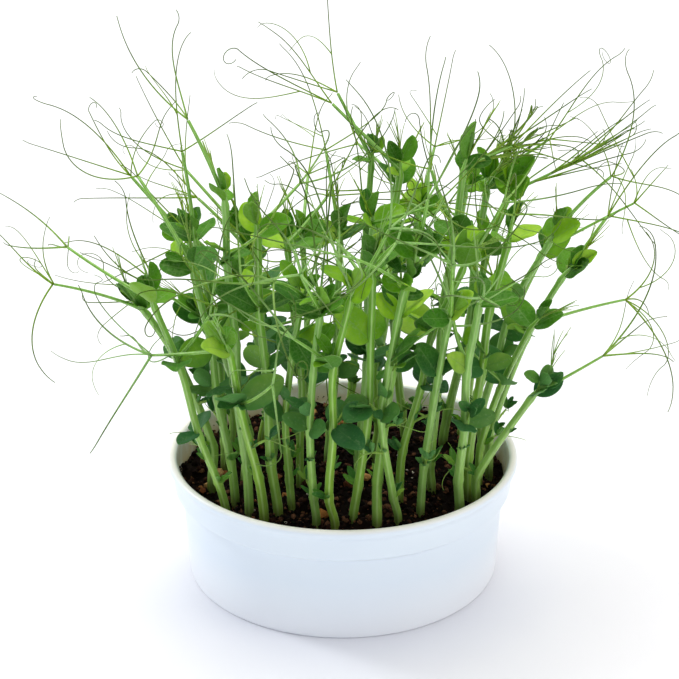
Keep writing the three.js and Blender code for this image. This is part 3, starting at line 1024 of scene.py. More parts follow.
class Recipe:
    """A new material, whose nodes are added one by one."""

    def __init__(self, name: str) -> None:
        """Starts an empty material.

        Args:
            name: The material's name.
        """
        self.material = bpy.data.materials.new(name)
        self.material.use_nodes = True
        self.tree = self.material.node_tree
        self.tree.nodes.clear()

    def add(self, kind: str, inputs: Inputs, stops: Stops = (), **settings: object) -> bpy.types.Node:
        """Adds a node with its settings and links.

        Args:
            kind: The node's type, after its prefix.
            inputs: Input name or index to a value, a hex colour, or the node or socket that drives it.
            stops: The places and hex colours of a colour ramp.
            **settings: The node's own options.

        Returns:
            The node.
        """
        node = self.tree.nodes.new("ShaderNode" + kind)
        for name, value in settings.items():
            setattr(node, name, value)
        for key, value in inputs.items():
            if isinstance(value, bpy.types.Node):
                value = next(socket for socket in value.outputs if socket.enabled)
            if isinstance(value, bpy.types.NodeSocket):
                self.tree.links.new(value, node.inputs[key])
            else:
                node.inputs[key].default_value = linear(value) if isinstance(value, str) else value
        for n, (place, code) in enumerate(stops):
            element = node.color_ramp.elements[n] if n < 2 else node.color_ramp.elements.new(place)
            element.position, element.color = place, linear(code)
        return node

    def finish(self, surface: bpy.types.Node) -> bpy.types.Material:
        """Returns the material, with its last node linked to its surface."""
        self.add("OutputMaterial", {"Surface": surface})
        return self.material


@dataclass(frozen=True)
class PeaLeafTissue:
    """A pea stipule's skin: fresh green tissue under thin wax bloom, with a pale midrib and fine veins."""

    name: str
    greens: Stops
    vein: str
    glow: str = "#98c932"
    wax: str = "#336b40"
    roughness: float = 0.44
    glow_share: float = 0.27
    flecks: float = 0.3
    patch_mm: float = 5.26
    mesh_mm: float = 1.61
    fleck_mm: float = 1.05
    grain_mm: float = 0.71

    def material(self) -> bpy.types.Material:
        """Makes the material: tinted tissue, veins from the blade's map, and light that shines through.

        Returns:
            The material.
        """
        recipe = Recipe(self.name)
        add = recipe.add
        place = add("TexCoord", {})
        here = place.outputs["Object"]
        z = add("SeparateXYZ", {0: here}).outputs["Z"]
        uv = add("SeparateXYZ", {0: place.outputs["UV"]})
        tint = add("Attribute", {}, attribute_name="tint").outputs["Fac"]
        # Patches of bloom make one side of a leaf greyer than the other.
        patches = add("TexNoise", {"Vector": here, "Scale": per_metre(self.patch_mm), "Detail": 3.0})
        blend = add("Math", {0: patches, 1: 0.5, 2: tint}, operation="MULTIPLY_ADD")
        shade = add("Math", {0: blend, 1: 0.25}, operation="SUBTRACT")
        tissue = add("ValToRGB", {0: shade}, self.greens)
        # The midrib is about 0.4 mm wide, and the side veins leave it at a slant every 1.6 mm or so.
        across = add("Math", {0: uv.outputs["Y"], 1: 0.5}, operation="SUBTRACT")
        out = add("Math", {0: across}, operation="ABSOLUTE")
        breadth = {"Value": out, "From Min": 0.008, "From Max": 0.035, "To Min": 0.55, "To Max": 0.0}
        midrib = add("MapRange", breadth, interpolation_type="SMOOTHSTEP")
        slant = add("Math", {0: out, 1: -1.1, 2: uv.outputs["X"]}, operation="MULTIPLY_ADD")
        comb = add("Math", {0: slant, 1: 62.0}, operation="MULTIPLY")
        wave = add("Math", {0: comb}, operation="SINE")
        side_veins = add("MapRange", {"Value": wave, "From Min": 0.88, "From Max": 1.0, "To Max": 0.12})
        # Between them is a net of fine veins.
        scale = per_metre(self.mesh_mm)
        net = add("TexVoronoi", {"Vector": here, "Scale": scale}, feature="DISTANCE_TO_EDGE")
        thin = {"Value": net, "From Min": 0.02, "From Max": 0.16, "To Min": 0.2, "To Max": 0.0}
        mesh = add("MapRange", thin)
        main_veins = add("Math", {0: midrib, 1: side_veins}, operation="MAXIMUM")
        veins = add("Math", {0: main_veins, 1: mesh}, operation="MAXIMUM")
        veined = add("Mix", {0: veins, 6: tissue, 7: self.vein}, data_type="RGBA")
        # The margin is a thin pale line, and about a third of the leaves have more of the blue-grey bloom.
        margin = add("MapRange", {"Value": out, "From Min": 0.44, "From Max": 0.49, "To Max": 0.75})
        edged = add("Mix", {0: margin, 6: veined, 7: self.vein}, data_type="RGBA")
        spread = add("Math", {0: tint, 1: 7.3}, operation="MULTIPLY")
        pick = add("Math", {0: spread}, operation="FRACT")
        waxy = add("MapRange", {"Value": pick, "From Min": 0.6, "From Max": 1.0, "To Max": 0.26})
        # The older leaves near the mix have the most bloom, and are darker under it.
        fall = {"Value": z, "From Min": 0.09, "From Max": 0.126, "To Min": 0.85, "To Max": 0.0}
        old = add("MapRange", fall, interpolation_type="SMOOTHSTEP")
        # The small scale leaves just above the mix have little of it.
        grown = add("MapRange", {"Value": z, "From Min": 0.05, "From Max": 0.07, "To Min": 0.3})
        aged = add("Math", {0: old, 1: grown}, operation="MULTIPLY")
        bloom = add("Math", {0: waxy, 1: aged}, operation="MAXIMUM")
        waxed = add("Mix", {0: bloom, 6: edged, 7: self.wax}, data_type="RGBA")
        # Silvery flecks show where air lies under the skin, thickest beside the midrib.
        specks = add("TexNoise", {"Vector": here, "Scale": per_metre(self.fleck_mm), "Detail": 1.0})
        air = add("MapRange", {"Value": specks, "From Min": 0.56, "From Max": 0.7})
        reach = {"Value": out, "From Min": 0.04, "From Max": 0.38, "To Min": self.flecks, "To Max": 0.0}
        near = add("MapRange", reach)
        fleck = add("Math", {0: air, 1: near}, operation="MULTIPLY")
        colour = add("Mix", {0: fleck, 6: waxed, 7: "#a4c183"}, data_type="RGBA")
        # The skin's cells are drawn ten times as coarse as they are, so that they take off the gloss.
        grain = add("TexNoise", {"Vector": here, "Scale": per_metre(self.grain_mm), "Detail": 2.0})
        relief = add("Math", {0: veins, 1: -0.8, 2: grain}, operation="MULTIPLY_ADD")
        bump = add("Bump", {"Height": relief, "Strength": 0.35, "Distance": 0.00012})
        gloss = {"Roughness": self.roughness, "Specular IOR Level": 0.14, "Normal": bump}
        skin = add("BsdfPrincipled", {"Base Color": colour, **gloss})
        through = add("Mix", {0: 0.55, 6: veined, 7: self.glow}, data_type="RGBA")
        light = add("BsdfTranslucent", {"Color": through})
        return recipe.finish(add("MixShader", {0: self.glow_share, 1: skin, 2: light}))


@dataclass(frozen=True)
class PeaStemSkin:
    """A pea stem's or tendril's skin: juicy green, paler along its ridges, partly as a painted highlight, and
    under its blue-grey bloom.
    """

    name: str
    low: str
    high: str
    ridge_highlight: str
    ridge_highlight_share: float
    bloom: str
    roughness: float = 0.42
    dry: str = "#525c22"
    dry_share: float = 0.0
    specular: float = 0.3
    glow_share: float = 0.0
    streak_mm: float = 1.43

    def material(self) -> bpy.types.Material:
        """Makes the material: a green that deepens with height, streaked, under a bloom set by the tint.

        Returns:
            The material.
        """
        recipe = Recipe(self.name)
        add = recipe.add
        place = add("TexCoord", {})
        here = place.outputs["Object"]
        z = add("SeparateXYZ", {0: here}).outputs["Z"]
        uv = add("SeparateXYZ", {0: place.outputs["UV"]})
        tint = add("Attribute", {}, attribute_name="tint").outputs["Fac"]
        rise = add("MapRange", {"Value": z, "From Min": 0.038, "From Max": 0.12})
        body = add("Mix", {0: rise, 6: self.low, 7: self.high}, data_type="RGBA")
        # Four pale ridges run along it; their paleness is partly a painted highlight.
        turn = add("Math", {0: uv.outputs["X"], 1: 8 * math.pi}, operation="MULTIPLY")
        ridge_highlight = add("Math", {0: turn}, operation="COSINE")
        ridge_highlight_mask = add("MapRange", {"Value": ridge_highlight, "From Min": 0.2, "To Max": self.ridge_highlight_share})
        ridge_highlighted = add("Mix", {0: ridge_highlight_mask, 6: body, 7: self.ridge_highlight}, data_type="RGBA")
        bloomed = add("Mix", {0: tint, 6: ridge_highlighted, 7: self.bloom}, data_type="RGBA")
        # A tendril darkens to a dry olive from 7 to 32 mm along it.
        length = uv.outputs["Y"]
        age = add("MapRange", {"Value": length, "From Min": 7.0, "From Max": 32.0, "To Max": self.dry_share})
        aged = add("Mix", {0: age, 6: bloomed, 7: self.dry}, data_type="RGBA")
        # The lowest 8 mm, just above the mix, are darker, towards a dark olive.
        fall = {"Value": z, "From Min": 0.039, "From Max": 0.047, "To Min": 0.75, "To Max": 0.0}
        foot = add("MapRange", fall, interpolation_type="SMOOTHSTEP")
        darkened_foot = add("Mix", {0: foot, 6: aged, 7: "#4a4a1e"}, data_type="RGBA")
        # Long narrow streaks, as the juicy strands show through the skin.
        stretch = add("Mapping", {"Vector": here, "Scale": (1.0, 1.0, 0.12)})
        streaks = add("TexNoise", {"Vector": stretch, "Scale": per_metre(self.streak_mm), "Detail": 2.0})
        swing = {"Value": streaks, "From Min": 0.25, "From Max": 0.75, "To Min": 0.82, "To Max": 1.16}
        tone = add("MapRange", swing)
        colour = add("HueSaturation", {"Value": tone, "Color": darkened_foot})
        bump = add("Bump", {"Height": streaks, "Strength": 0.3, "Distance": 0.0001})
        gloss = {"Roughness": self.roughness, "Specular IOR Level": self.specular, "Normal": bump}
        flesh = {"Subsurface Weight": 0.25, "Subsurface Scale": 0.0012, "Subsurface Radius": (0.6, 1.0, 0.3)}
        skin = add("BsdfPrincipled", {"Base Color": colour, **gloss, **flesh})
        # A tendril is thin enough for light to shine through it.
        light = add("BsdfTranslucent", {"Color": colour})
        return recipe.finish(add("MixShader", {0: self.glow_share, 1: skin, 2: light}))


@dataclass(frozen=True)
class MouldedPolypropylene:
    """White moulded polypropylene: a soft satin gloss over a slightly milky body.

    Watering has left a thin beige film of mix on the inner wall, between the mix and the lip.
    """

    name: str = "moulded_white_polypropylene"
    white: str = "#ecf7ff"
    shade: str = "#e5f1fd"
    # The lip colour is a painted highlight on the top of the lip.
    lip: str = "#fffcf0"
    # The foot colour is painted light near the foot.
    foot: str = "#fbfdff"
    film: str = "#c2b495"
    film_radius: float = 0.0669
    film_foot: float = 0.0374
    flow_mm: float = 33.3
    blotch_mm: float = 8.3
    grain_mm: float = 0.45

    def material(self) -> bpy.types.Material:
        """Makes the material: near white, with faint flow marks and a very fine moulded grain.

        Returns:
            The material.
        """
        recipe = Recipe(self.name)
        add = recipe.add
        here = add("TexCoord", {}).outputs["Object"]
        spot = add("SeparateXYZ", {0: here})
        x, y, z = (spot.outputs[axis] for axis in "XYZ")
        # The flow marks of the moulding are hardly seen.
        flow = add("TexNoise", {"Vector": here, "Scale": per_metre(self.flow_mm), "Detail": 1.0})
        body = add("Mix", {0: flow, 6: self.white, 7: self.shade}, data_type="RGBA")
        # The foot is painted a little paler: painted light, as if bounced up from the board.
        foot = add("MapRange", {"Value": z, "From Max": 0.024, "To Min": 0.9, "To Max": 0.0})
        body_with_painted_foot_light = add("Mix", {0: foot, 6: body, 7: self.foot}, data_type="RGBA")
        # The film lies inside the band only, and in blotches that fade towards the lip.
        flat = add("CombineXYZ", {"X": x, "Y": y})
        out = add("VectorMath", {0: flat}, operation="LENGTH")
        inside = add("Math", {0: out, 1: self.film_radius}, operation="LESS_THAN")
        above = add("Math", {0: z, 1: self.film_foot}, operation="GREATER_THAN")
        fall = {"Value": z, "From Min": 0.039, "From Max": 0.049, "To Min": 1.0, "To Max": 0.6}
        fade = add("MapRange", fall)
        blotches = add("TexNoise", {"Vector": here, "Scale": per_metre(self.blotch_mm), "Detail": 4.0})
        share = add("MapRange", {"Value": blotches, "From Min": 0.1, "From Max": 0.5})
        for limit in (inside, above, fade):
            share = add("Math", {0: share, 1: limit}, operation="MULTIPLY")
        stained = add("Mix", {0: share, 6: body_with_painted_foot_light, 7: self.film}, data_type="RGBA")
        # The top of the rolled lip is painted a little warmer and brighter: a painted highlight.
        top = add("MapRange", {"Value": z, "From Min": 0.0486, "From Max": 0.0499})
        colour = add("Mix", {0: top, 6: stained, 7: self.lip}, data_type="RGBA")
        roughness = add("MapRange", {"Value": flow, "To Min": 0.3, "To Max": 0.38})
        # The mould's fine grain is drawn coarser than it is, so that it shows, and it softens the gloss.
        grain = add("TexNoise", {"Vector": here, "Scale": per_metre(self.grain_mm), "Detail": 1.0})
        bump = add("Bump", {"Height": grain, "Strength": 0.08, "Distance": 0.00005})
        gloss = {"Roughness": roughness, "IOR": 1.49, "Normal": bump}
        milk = {"Subsurface Weight": 0.15, "Subsurface Scale": 0.003, "Subsurface Radius": (1.0, 1.0, 1.0)}
        return recipe.finish(add("BsdfPrincipled", {"Base Color": colour, **gloss, **milk}))


@dataclass(frozen=True)
class MixGrain:
    """A grain of potting mix, such as damp peat, vermiculite, perlite or bark: rough, matt and mottled."""

    name: str
    stops: Stops
    grain_mm: float
    roughness: float = 0.95
    relief: float = 0.0004

    def material(self) -> bpy.types.Material:
        """Makes the material: mottles at the grain's own size, and a tint that differs from bit to bit.

        Returns:
            The material.
        """
        recipe = Recipe(self.name)
        add = recipe.add
        here = add("TexCoord", {}).outputs["Object"]
        tint = add("Attribute", {}, attribute_name="tint").outputs["Fac"]
        scale = per_metre(self.grain_mm)
        mottle = add("TexNoise", {"Vector": here, "Scale": scale, "Detail": 4.0, "Roughness": 0.65})
        blend = add("Math", {0: mottle, 1: 0.6, 2: tint}, operation="MULTIPLY_ADD")
        shade = add("Math", {0: blend, 1: 0.3}, operation="SUBTRACT")
        colour = add("ValToRGB", {0: shade}, self.stops)
        bump = add("Bump", {"Height": mottle, "Strength": 0.8, "Distance": self.relief})
        gloss = {"Roughness": self.roughness, "Specular IOR Level": 0.08, "Normal": bump}
        return recipe.finish(add("BsdfPrincipled", {"Base Color": colour, **gloss}))


@dataclass(frozen=True)
class PaintedBoard:
    """The pale board that the tub stands on: matt white paint."""

    name: str = "matt_white_board"
    colours: tuple[str, str] = ("#f0f1f5", "#ebebf0")
    tone_mm: float = 83

    def material(self) -> bpy.types.Material:
        """Makes the material: flat white with wide soft tones, as on a sheet of card.

        Returns:
            The material.
        """
        recipe = Recipe(self.name)
        here = recipe.add("TexCoord", {}).outputs["Object"]
        tone = recipe.add("TexNoise", {"Vector": here, "Scale": per_metre(self.tone_mm), "Detail": 2.0})
        body = recipe.add("Mix", {0: tone, 6: self.colours[0], 7: self.colours[1]}, data_type="RGBA")
        return recipe.finish(recipe.add("BsdfPrincipled", {"Base Color": body, "Roughness": 0.7}))


# ---- Sub-assemblies ----


def seat(piece: bpy.types.Object, slot: str, *nodes: str) -> None:
    """Puts a finished piece on the root body, and in place of CAD nodes if any.

    Args:
        piece: The piece.
        slot: Not used.
        *nodes: The CAD nodes that it replaces.
    """
    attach(piece, "root")
    if nodes:
        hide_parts(*nodes)
    log.info("%s: %d faces", piece.name, len(piece.data.polygons))


Profile = list[tuple[float, float]]


@dataclass
class Tub:
    """The round white tub: underside with a groove, tapered wall, step, upright band and rolled lip."""

    sides: int = 160
    corner: float = 1.1
    groove: tuple[float, float] = (41, 47)
    groove_depth: float = 0.8

    @staticmethod
    def arc(x: float, z: float, radius: float, start: float, end: float, steps: int) -> Profile:
        """Returns points of an arc of the profile, with angles in degrees from outward."""
        turns = [math.radians(mix(start, end, i / steps)) for i in range(steps + 1)]
        return [(x + radius * math.cos(a), z + radius * math.sin(a)) for a in turns]

    def profile(self) -> Profile:
        """Lists the tub's profile, from the middle of its underside round to the middle of its floor.

        Returns:
            The radius and height of each point.
        """
        base, top, band, lip = SIZE.base_radius, SIZE.wall_top_radius, SIZE.band_radius, SIZE.lip_radius
        step, height, floor, wall = SIZE.step_height, SIZE.height, SIZE.floor, SIZE.wall
        (inner, outer), depth = self.groove, self.groove_depth
        return [
            (0, 0), (inner, 0), (inner + 1, depth), (outer - 1, depth), (outer, 0),
            *self.arc(base - self.corner + 0.05, self.corner, self.corner, -90, -3, 7),
            *[(mix(base + 0.1, top, t), mix(4, step - 2.2, t)) for t in (0.25, 0.5, 0.75)],
            *self.arc(top + 0.9, step - 1.7, 0.9, 180, 100, 4),
            *self.arc(band - 0.9, step + 1.5, 1.0, -80, 0, 5),
            (band + 0.35, height - 6), (lip - 1.5, height - 4.1),
            *self.arc(lip - 1.5, height - 1.9, 1.75, -62, 150, 14),
            (band - wall - 0.1, height - 2.4), (band - wall - 0.3, step + 2.2),
            (top - wall + 0.2, step - 0.4), (top - wall, step - 1.4), (base - wall, floor + 2.6),
            (base - wall - 0.8, floor + 0.8), (base - wall - 2.6, floor), (0, floor),
        ]

    def build(self) -> None:
        """Builds the tub and puts it in place of its solid."""
        maker = MeshMaker()
        maker.skin([maker.ring(radius, self.sides, lambda x, y: z) for radius, z in self.profile()])
        seat(maker.make("tub_shell", [MouldedPolypropylene().material()]), "tub", "tub")


def mix_rise(x: float, y: float) -> float:
    """Works out how far the potting mix stands above its level.

    Args:
        x: The spot, from the axis.
        y: The same, to the back.

    Returns:
        The rise.
    """
    out = math.hypot(x, y) / SIZE.base_radius
    crumbs = (
        math.sin(0.61 * x + 1.3) * math.sin(0.57 * y + 0.4)
        + math.sin(1.13 * x - 0.71 * y)
        + 0.6 * math.sin(1.7 * y + 0.9 * x + 2)
    )
    return SIZE.mound * (1 - out * out) + SIZE.relief * 0.5 * crumbs


@dataclass(frozen=True)
class Bit:
    """A kind of loose bit that lies on the mix: how many, how large, how wide and tall for its length."""

    name: str
    count: int
    least: float
    most: float
    wide: float
    tall: float
    grain: MixGrain

    def size(self, draws: Draws) -> Vec:
        """Returns the half lengths of one bit."""
        r = mix(self.least, self.most, draws.next() ** 1.6)
        return Vec(r, r * self.wide * draws.between(0.8, 1.15), r * self.tall * draws.between(0.75, 1.2))


PEAT = MixGrain(
    "damp_dark_peat", ((0.2, "#060302"), (0.6, "#120905"), (0.8, "#28160d"), (1.0, "#4a2c18")), 1.5, 0.9
)
CRUMB = MixGrain(
    "damp_peat_crumbs", ((0.1, "#0a0604"), (0.5, "#1c0f09"), (0.82, "#382116"), (1.0, "#745038")), 0.7, 0.85
)
FLAKE = MixGrain(
    "flaky_vermiculite", ((0.0, "#221007"), (0.4, "#653518"), (0.7, "#a06a36"), (1.0, "#d2a870")), 0.8, 0.6
)
PERLITE = MixGrain("puffed_perlite", ((0.0, "#8d8073"), (0.5, "#b8ab9c"), (1.0, "#dcd4c8")), 0.7, 0.9, 0.0002)
BARK = MixGrain("composted_bark", ((0.0, "#160b06"), (0.5, "#352014"), (1.0, "#644228")), 1.0, 0.85, 0.0002)

BITS = (
    Bit("peat_crumbs", 4600, 0.3, 1.7, 0.85, 0.8, CRUMB),
    Bit("vermiculite_flakes", 90, 1.1, 3.3, 0.85, 0.7, FLAKE),
    Bit("perlite_grains", 70, 0.25, 0.9, 0.9, 0.85, PERLITE),
    Bit("bark_chips", 160, 1.2, 3.2, 0.3, 0.2, BARK),
)


def lump_form() -> tuple[list[Vec], list[tuple[int, int, int]]]:
    """Makes the even solid of twelve corners that each bit is a jagged copy of.

    Returns:
        Its corners, and the three corners of each face, by number.
    """
    golden = (1 + math.sqrt(5)) / 2
    corners = [
        Vec(*spot) for a in (-1, 1) for b in (-golden, golden) for spot in ((0, a, b), (a, b, 0), (b, 0, a))
    ]
    faces = []
    for i, j, k in combinations(range(12), 3):
        p, q, r = corners[i], corners[j], corners[k]
        if all(abs(start.distance(end) - 2) < 1e-6 for start, end in ((p, q), (q, r), (r, p))):
            outward = q.minus(p).cross(r.minus(p)).dot(p) > 0
            faces.append((i, j, k) if outward else (i, k, j))
    return corners, faces


LUMP_CORNERS, LUMP_FACES = lump_form()


@dataclass
class PottingMix:
    """The damp dark potting mix: a rough filled surface, and the bits that lie on it."""

    stems: list[Vec]
    rings: int = 64
    sectors: int = 220
    # How often the surface's unevenness comes round in a millimetre, and how far it rises.
    lumps: tuple[tuple[float, float], ...] = ((0.1, 2.4), (0.3, 2.2), (0.7, 1.3), (1.6, 0.6))
    # The bearing of each bank or hollow along the wall, in degrees, and how far it rises.
    banks: tuple[tuple[float, float], ...] = ((48, 3.4), (-178, -2.4), (115, 1.5))
    bank_spread: float = 24
    # Where crumbs cling to the wall: the middle and half width of each stretch in degrees, and how many.
    stretches: tuple[tuple[int, int, int], ...] = (
        (-172, 24, 240),
        (40, 30, 120),
        (120, 40, 60),
        (-60, 60, 16),
    )
    wall_nests: int = 7
    crumbs_per_stem: int = 26
    clusters: int = 15
    inside: float = SIZE.band_radius - SIZE.wall

    def height(self, x: float, y: float) -> float:
        """Works out the height of the mix's fine surface.

        Args:
            x: The spot, from the axis.
            y: The same, to the back.

        Returns:
            The height.
        """
        spot = Vector((x, y, 0.0))
        lumps = sum(noise.noise(spot * rate) * rise for rate, rise in self.lumps)
        out = min(1.0, math.hypot(x, y) / SIZE.base_radius)
        turn = math.degrees(math.atan2(y, x))
        banks = sum(rise * math.exp(-(((turn - at) / self.bank_spread) ** 2)) for at, rise in self.banks)
        return max(SIZE.step_height + 0.4, SIZE.level + mix_rise(x, y) * 0.7 + lumps + banks * out**5)

    def surface(self) -> None:
        """Builds the filled body of the mix and puts it in place of its solid."""
        side = SIZE.wall_top_radius - SIZE.wall - SIZE.mix_gap
        inner = SIZE.base_radius - SIZE.wall
        low = SIZE.floor + SIZE.mix_gap
        reach = side + 2.3
        foot = ((0, low), (inner - 2.7, low), (inner - 0.3, low + 2.6))
        wall = ((side, SIZE.step_height - 0.7), (reach, SIZE.level - 0.2))
        maker = MeshMaker()
        rings = [maker.ring(radius, self.sectors, lambda x, y: z) for radius, z in foot + wall]
        for i in range(self.rings + 1):
            rings.append(maker.ring(reach * (self.rings - i) / self.rings, self.sectors, self.height))
        maker.skin(rings)
        seat(maker.make("potting_mix_bed", [PEAT.material()]), "potting_mix", "potting_mix")

    @staticmethod
    def lump(maker: MeshMaker, centre: Vec, size: Vec, draws: Draws, tint: float) -> None:
        """Adds one bit: a jagged twelve-cornered lump, stretched and turned at random.

        Args:
            maker: The mesh to add it to.
            centre: The bit's middle.
            size: Its half lengths.
            draws: The draws for its shape.
            tint: Its tint.
        """
        spin = Vec(draws.between(-1, 1), draws.between(-1, 1), draws.between(-0.4, 0.4)).unit()
        tilt, yaw = draws.between(-0.7, 0.7), draws.between(0, 6.28)
        start = len(maker.vertices)
        for x, y, z in LUMP_CORNERS:
            jag = draws.between(0.62, 1.2) / 1.9
            p = Vec(x * size.x * jag, y * size.y * jag, z * size.z * jag)
            maker.vertex(centre.plus(p.turned(Vec(0, 0, 1), yaw).turned(spin, tilt)), tint)
        for face in LUMP_FACES:
            maker.face([start + n for n in face], [(0.0, 0.0)] * 3)

    def crumb(self, maker: MeshMaker, centre: Vec, radius: float, draws: Draws) -> None:
        """Adds one small crumb, nearly as wide and tall as it's long."""
        self.lump(maker, centre, Vec(radius, radius * 0.9, radius * 0.8), draws, draws.next())

    def cling(self, maker: MeshMaker, draws: Draws) -> None:
        """Adds the crumbs that watering has left on the tub's inner wall, in a few stretches.

        Args:
            maker: The mesh to add them to.
            draws: The draws to use.
        """
        for at, spread, count in self.stretches:
            nests = [(draws.between(-1, 1), draws.next() ** 1.5) for _ in range(self.wall_nests)]
            for n in range(count):
                middle, top = nests[n % self.wall_nests]
                turn = math.radians(at + spread * middle + 7 * draws.between(-1, 1) * draws.next())
                up = min(1.0, top * draws.next() ** 0.8)
                z = mix(SIZE.level - 1.2, SIZE.height - 5, up)
                out = mix(self.inside - 0.45, self.inside - 0.2, up) - 0.1
                radius = draws.between(0.3, 1.0) * (1 - 0.45 * up)
                self.crumb(maker, Vec(out * math.cos(turn), out * math.sin(turn), z), radius, draws)

    def bed_in(self, maker: MeshMaker, draws: Draws) -> None:
        """Heaps fine crumbs round the foot of each stem.

        Args:
            maker: The mesh to add them to.
            draws: The draws to use.
        """
        for stem in self.stems:
            for _ in range(self.crumbs_per_stem):
                turn, away = draws.between(0, 2 * math.pi), draws.between(1.35, 2.9)
                x, y = stem.x + away * math.cos(turn), stem.y + away * math.sin(turn)
                if math.hypot(x, y) <= self.inside - 1:
                    radius = draws.between(0.25, 0.75)
                    z = self.height(x, y) + (3 - away) * draws.between(0.1, 0.6)
                    self.crumb(maker, Vec(x, y, z), radius, draws)

    def scatter(self, bit: Bit) -> None:
        """Scatters one kind of bit over the mix, clear of the stems.

        Args:
            bit: The kind of bit.
        """
        draws = Draws(BITS.index(bit), 3, Kind.LOOK)
        maker = MeshMaker()
        limit = self.inside - 1.4
        inner, turns = 0.92 * limit, 2 * math.pi
        nests = [(inner * math.sqrt(draws.next()), draws.between(0, turns)) for _ in range(self.clusters)]
        placed = 0
        while placed < bit.count:
            radius, turn = limit * math.sqrt(draws.next()), draws.between(0, turns)
            # Seven in ten flakes lie in clusters.
            nested = bit.grain is FLAKE and placed % 10 < 7
            if nested:
                radius, turn = nests[placed % self.clusters]
            x, y = radius * math.cos(turn), radius * math.sin(turn)
            if nested:
                x += draws.between(-1, 1) * draws.between(0, 7)
                y += draws.between(-1, 1) * draws.between(0, 7)
            size = bit.size(draws)
            tint = draws.next()
            room = min(limit + 0.6, SIZE.band_radius - 0.5 - 1.2 * size.x)
            clear = 1.5 + 0.45 * size.x
            if math.hypot(x, y) <= room and all(math.hypot(x - s.x, y - s.y) >= clear for s in self.stems):
                z = self.height(x, y) + size.z * draws.between(0.15, 0.7)
                self.lump(maker, Vec(x, y, z), size, draws, tint)
                placed += 1
        if bit.grain is CRUMB:
            self.cling(maker, draws)
            self.bed_in(maker, draws)
        seat(maker.make(bit.name, [bit.grain.material()], smooth=False), "potting_mix")

    def build(self) -> None:
        """Builds the mix's surface and all its bits."""
        self.surface()
        for bit in BITS:
            self.scatter(bit)


@dataclass(frozen=True)
class Twig:
    """A kind of tendril or small stalk: its radius at the start and end, its sides, and how long it is."""

    thick: float
    thin: float
    sides: int
    reach: tuple[float, float] = (0, 0)


SIDE_TENDRIL = Twig(0.26, 0.1, 4, (18, 38))
HUB_TENDRIL = Twig(0.3, 0.1, 5, (22, 46))
STALK_TENDRIL = Twig(0.3, 0.1, 5, (20, 40))
SHEAF_TENDRIL = Twig(0.42, 0.14, 5, (22, 42))
COMB_TENDRIL = Twig(0.24, 0.12, 4, (7, 14))
BUD_TENDRIL = Twig(0.24, 0.12, 4, (6, 14))
TIP_STALK = Twig(0.5, 0.36, 5, (8, 14))
AXIL_STALK = Twig(0.55, 0.4, 6, (3, 11))
BUD_STALK = Twig(0.7, 0.4, 6, (6, 13))


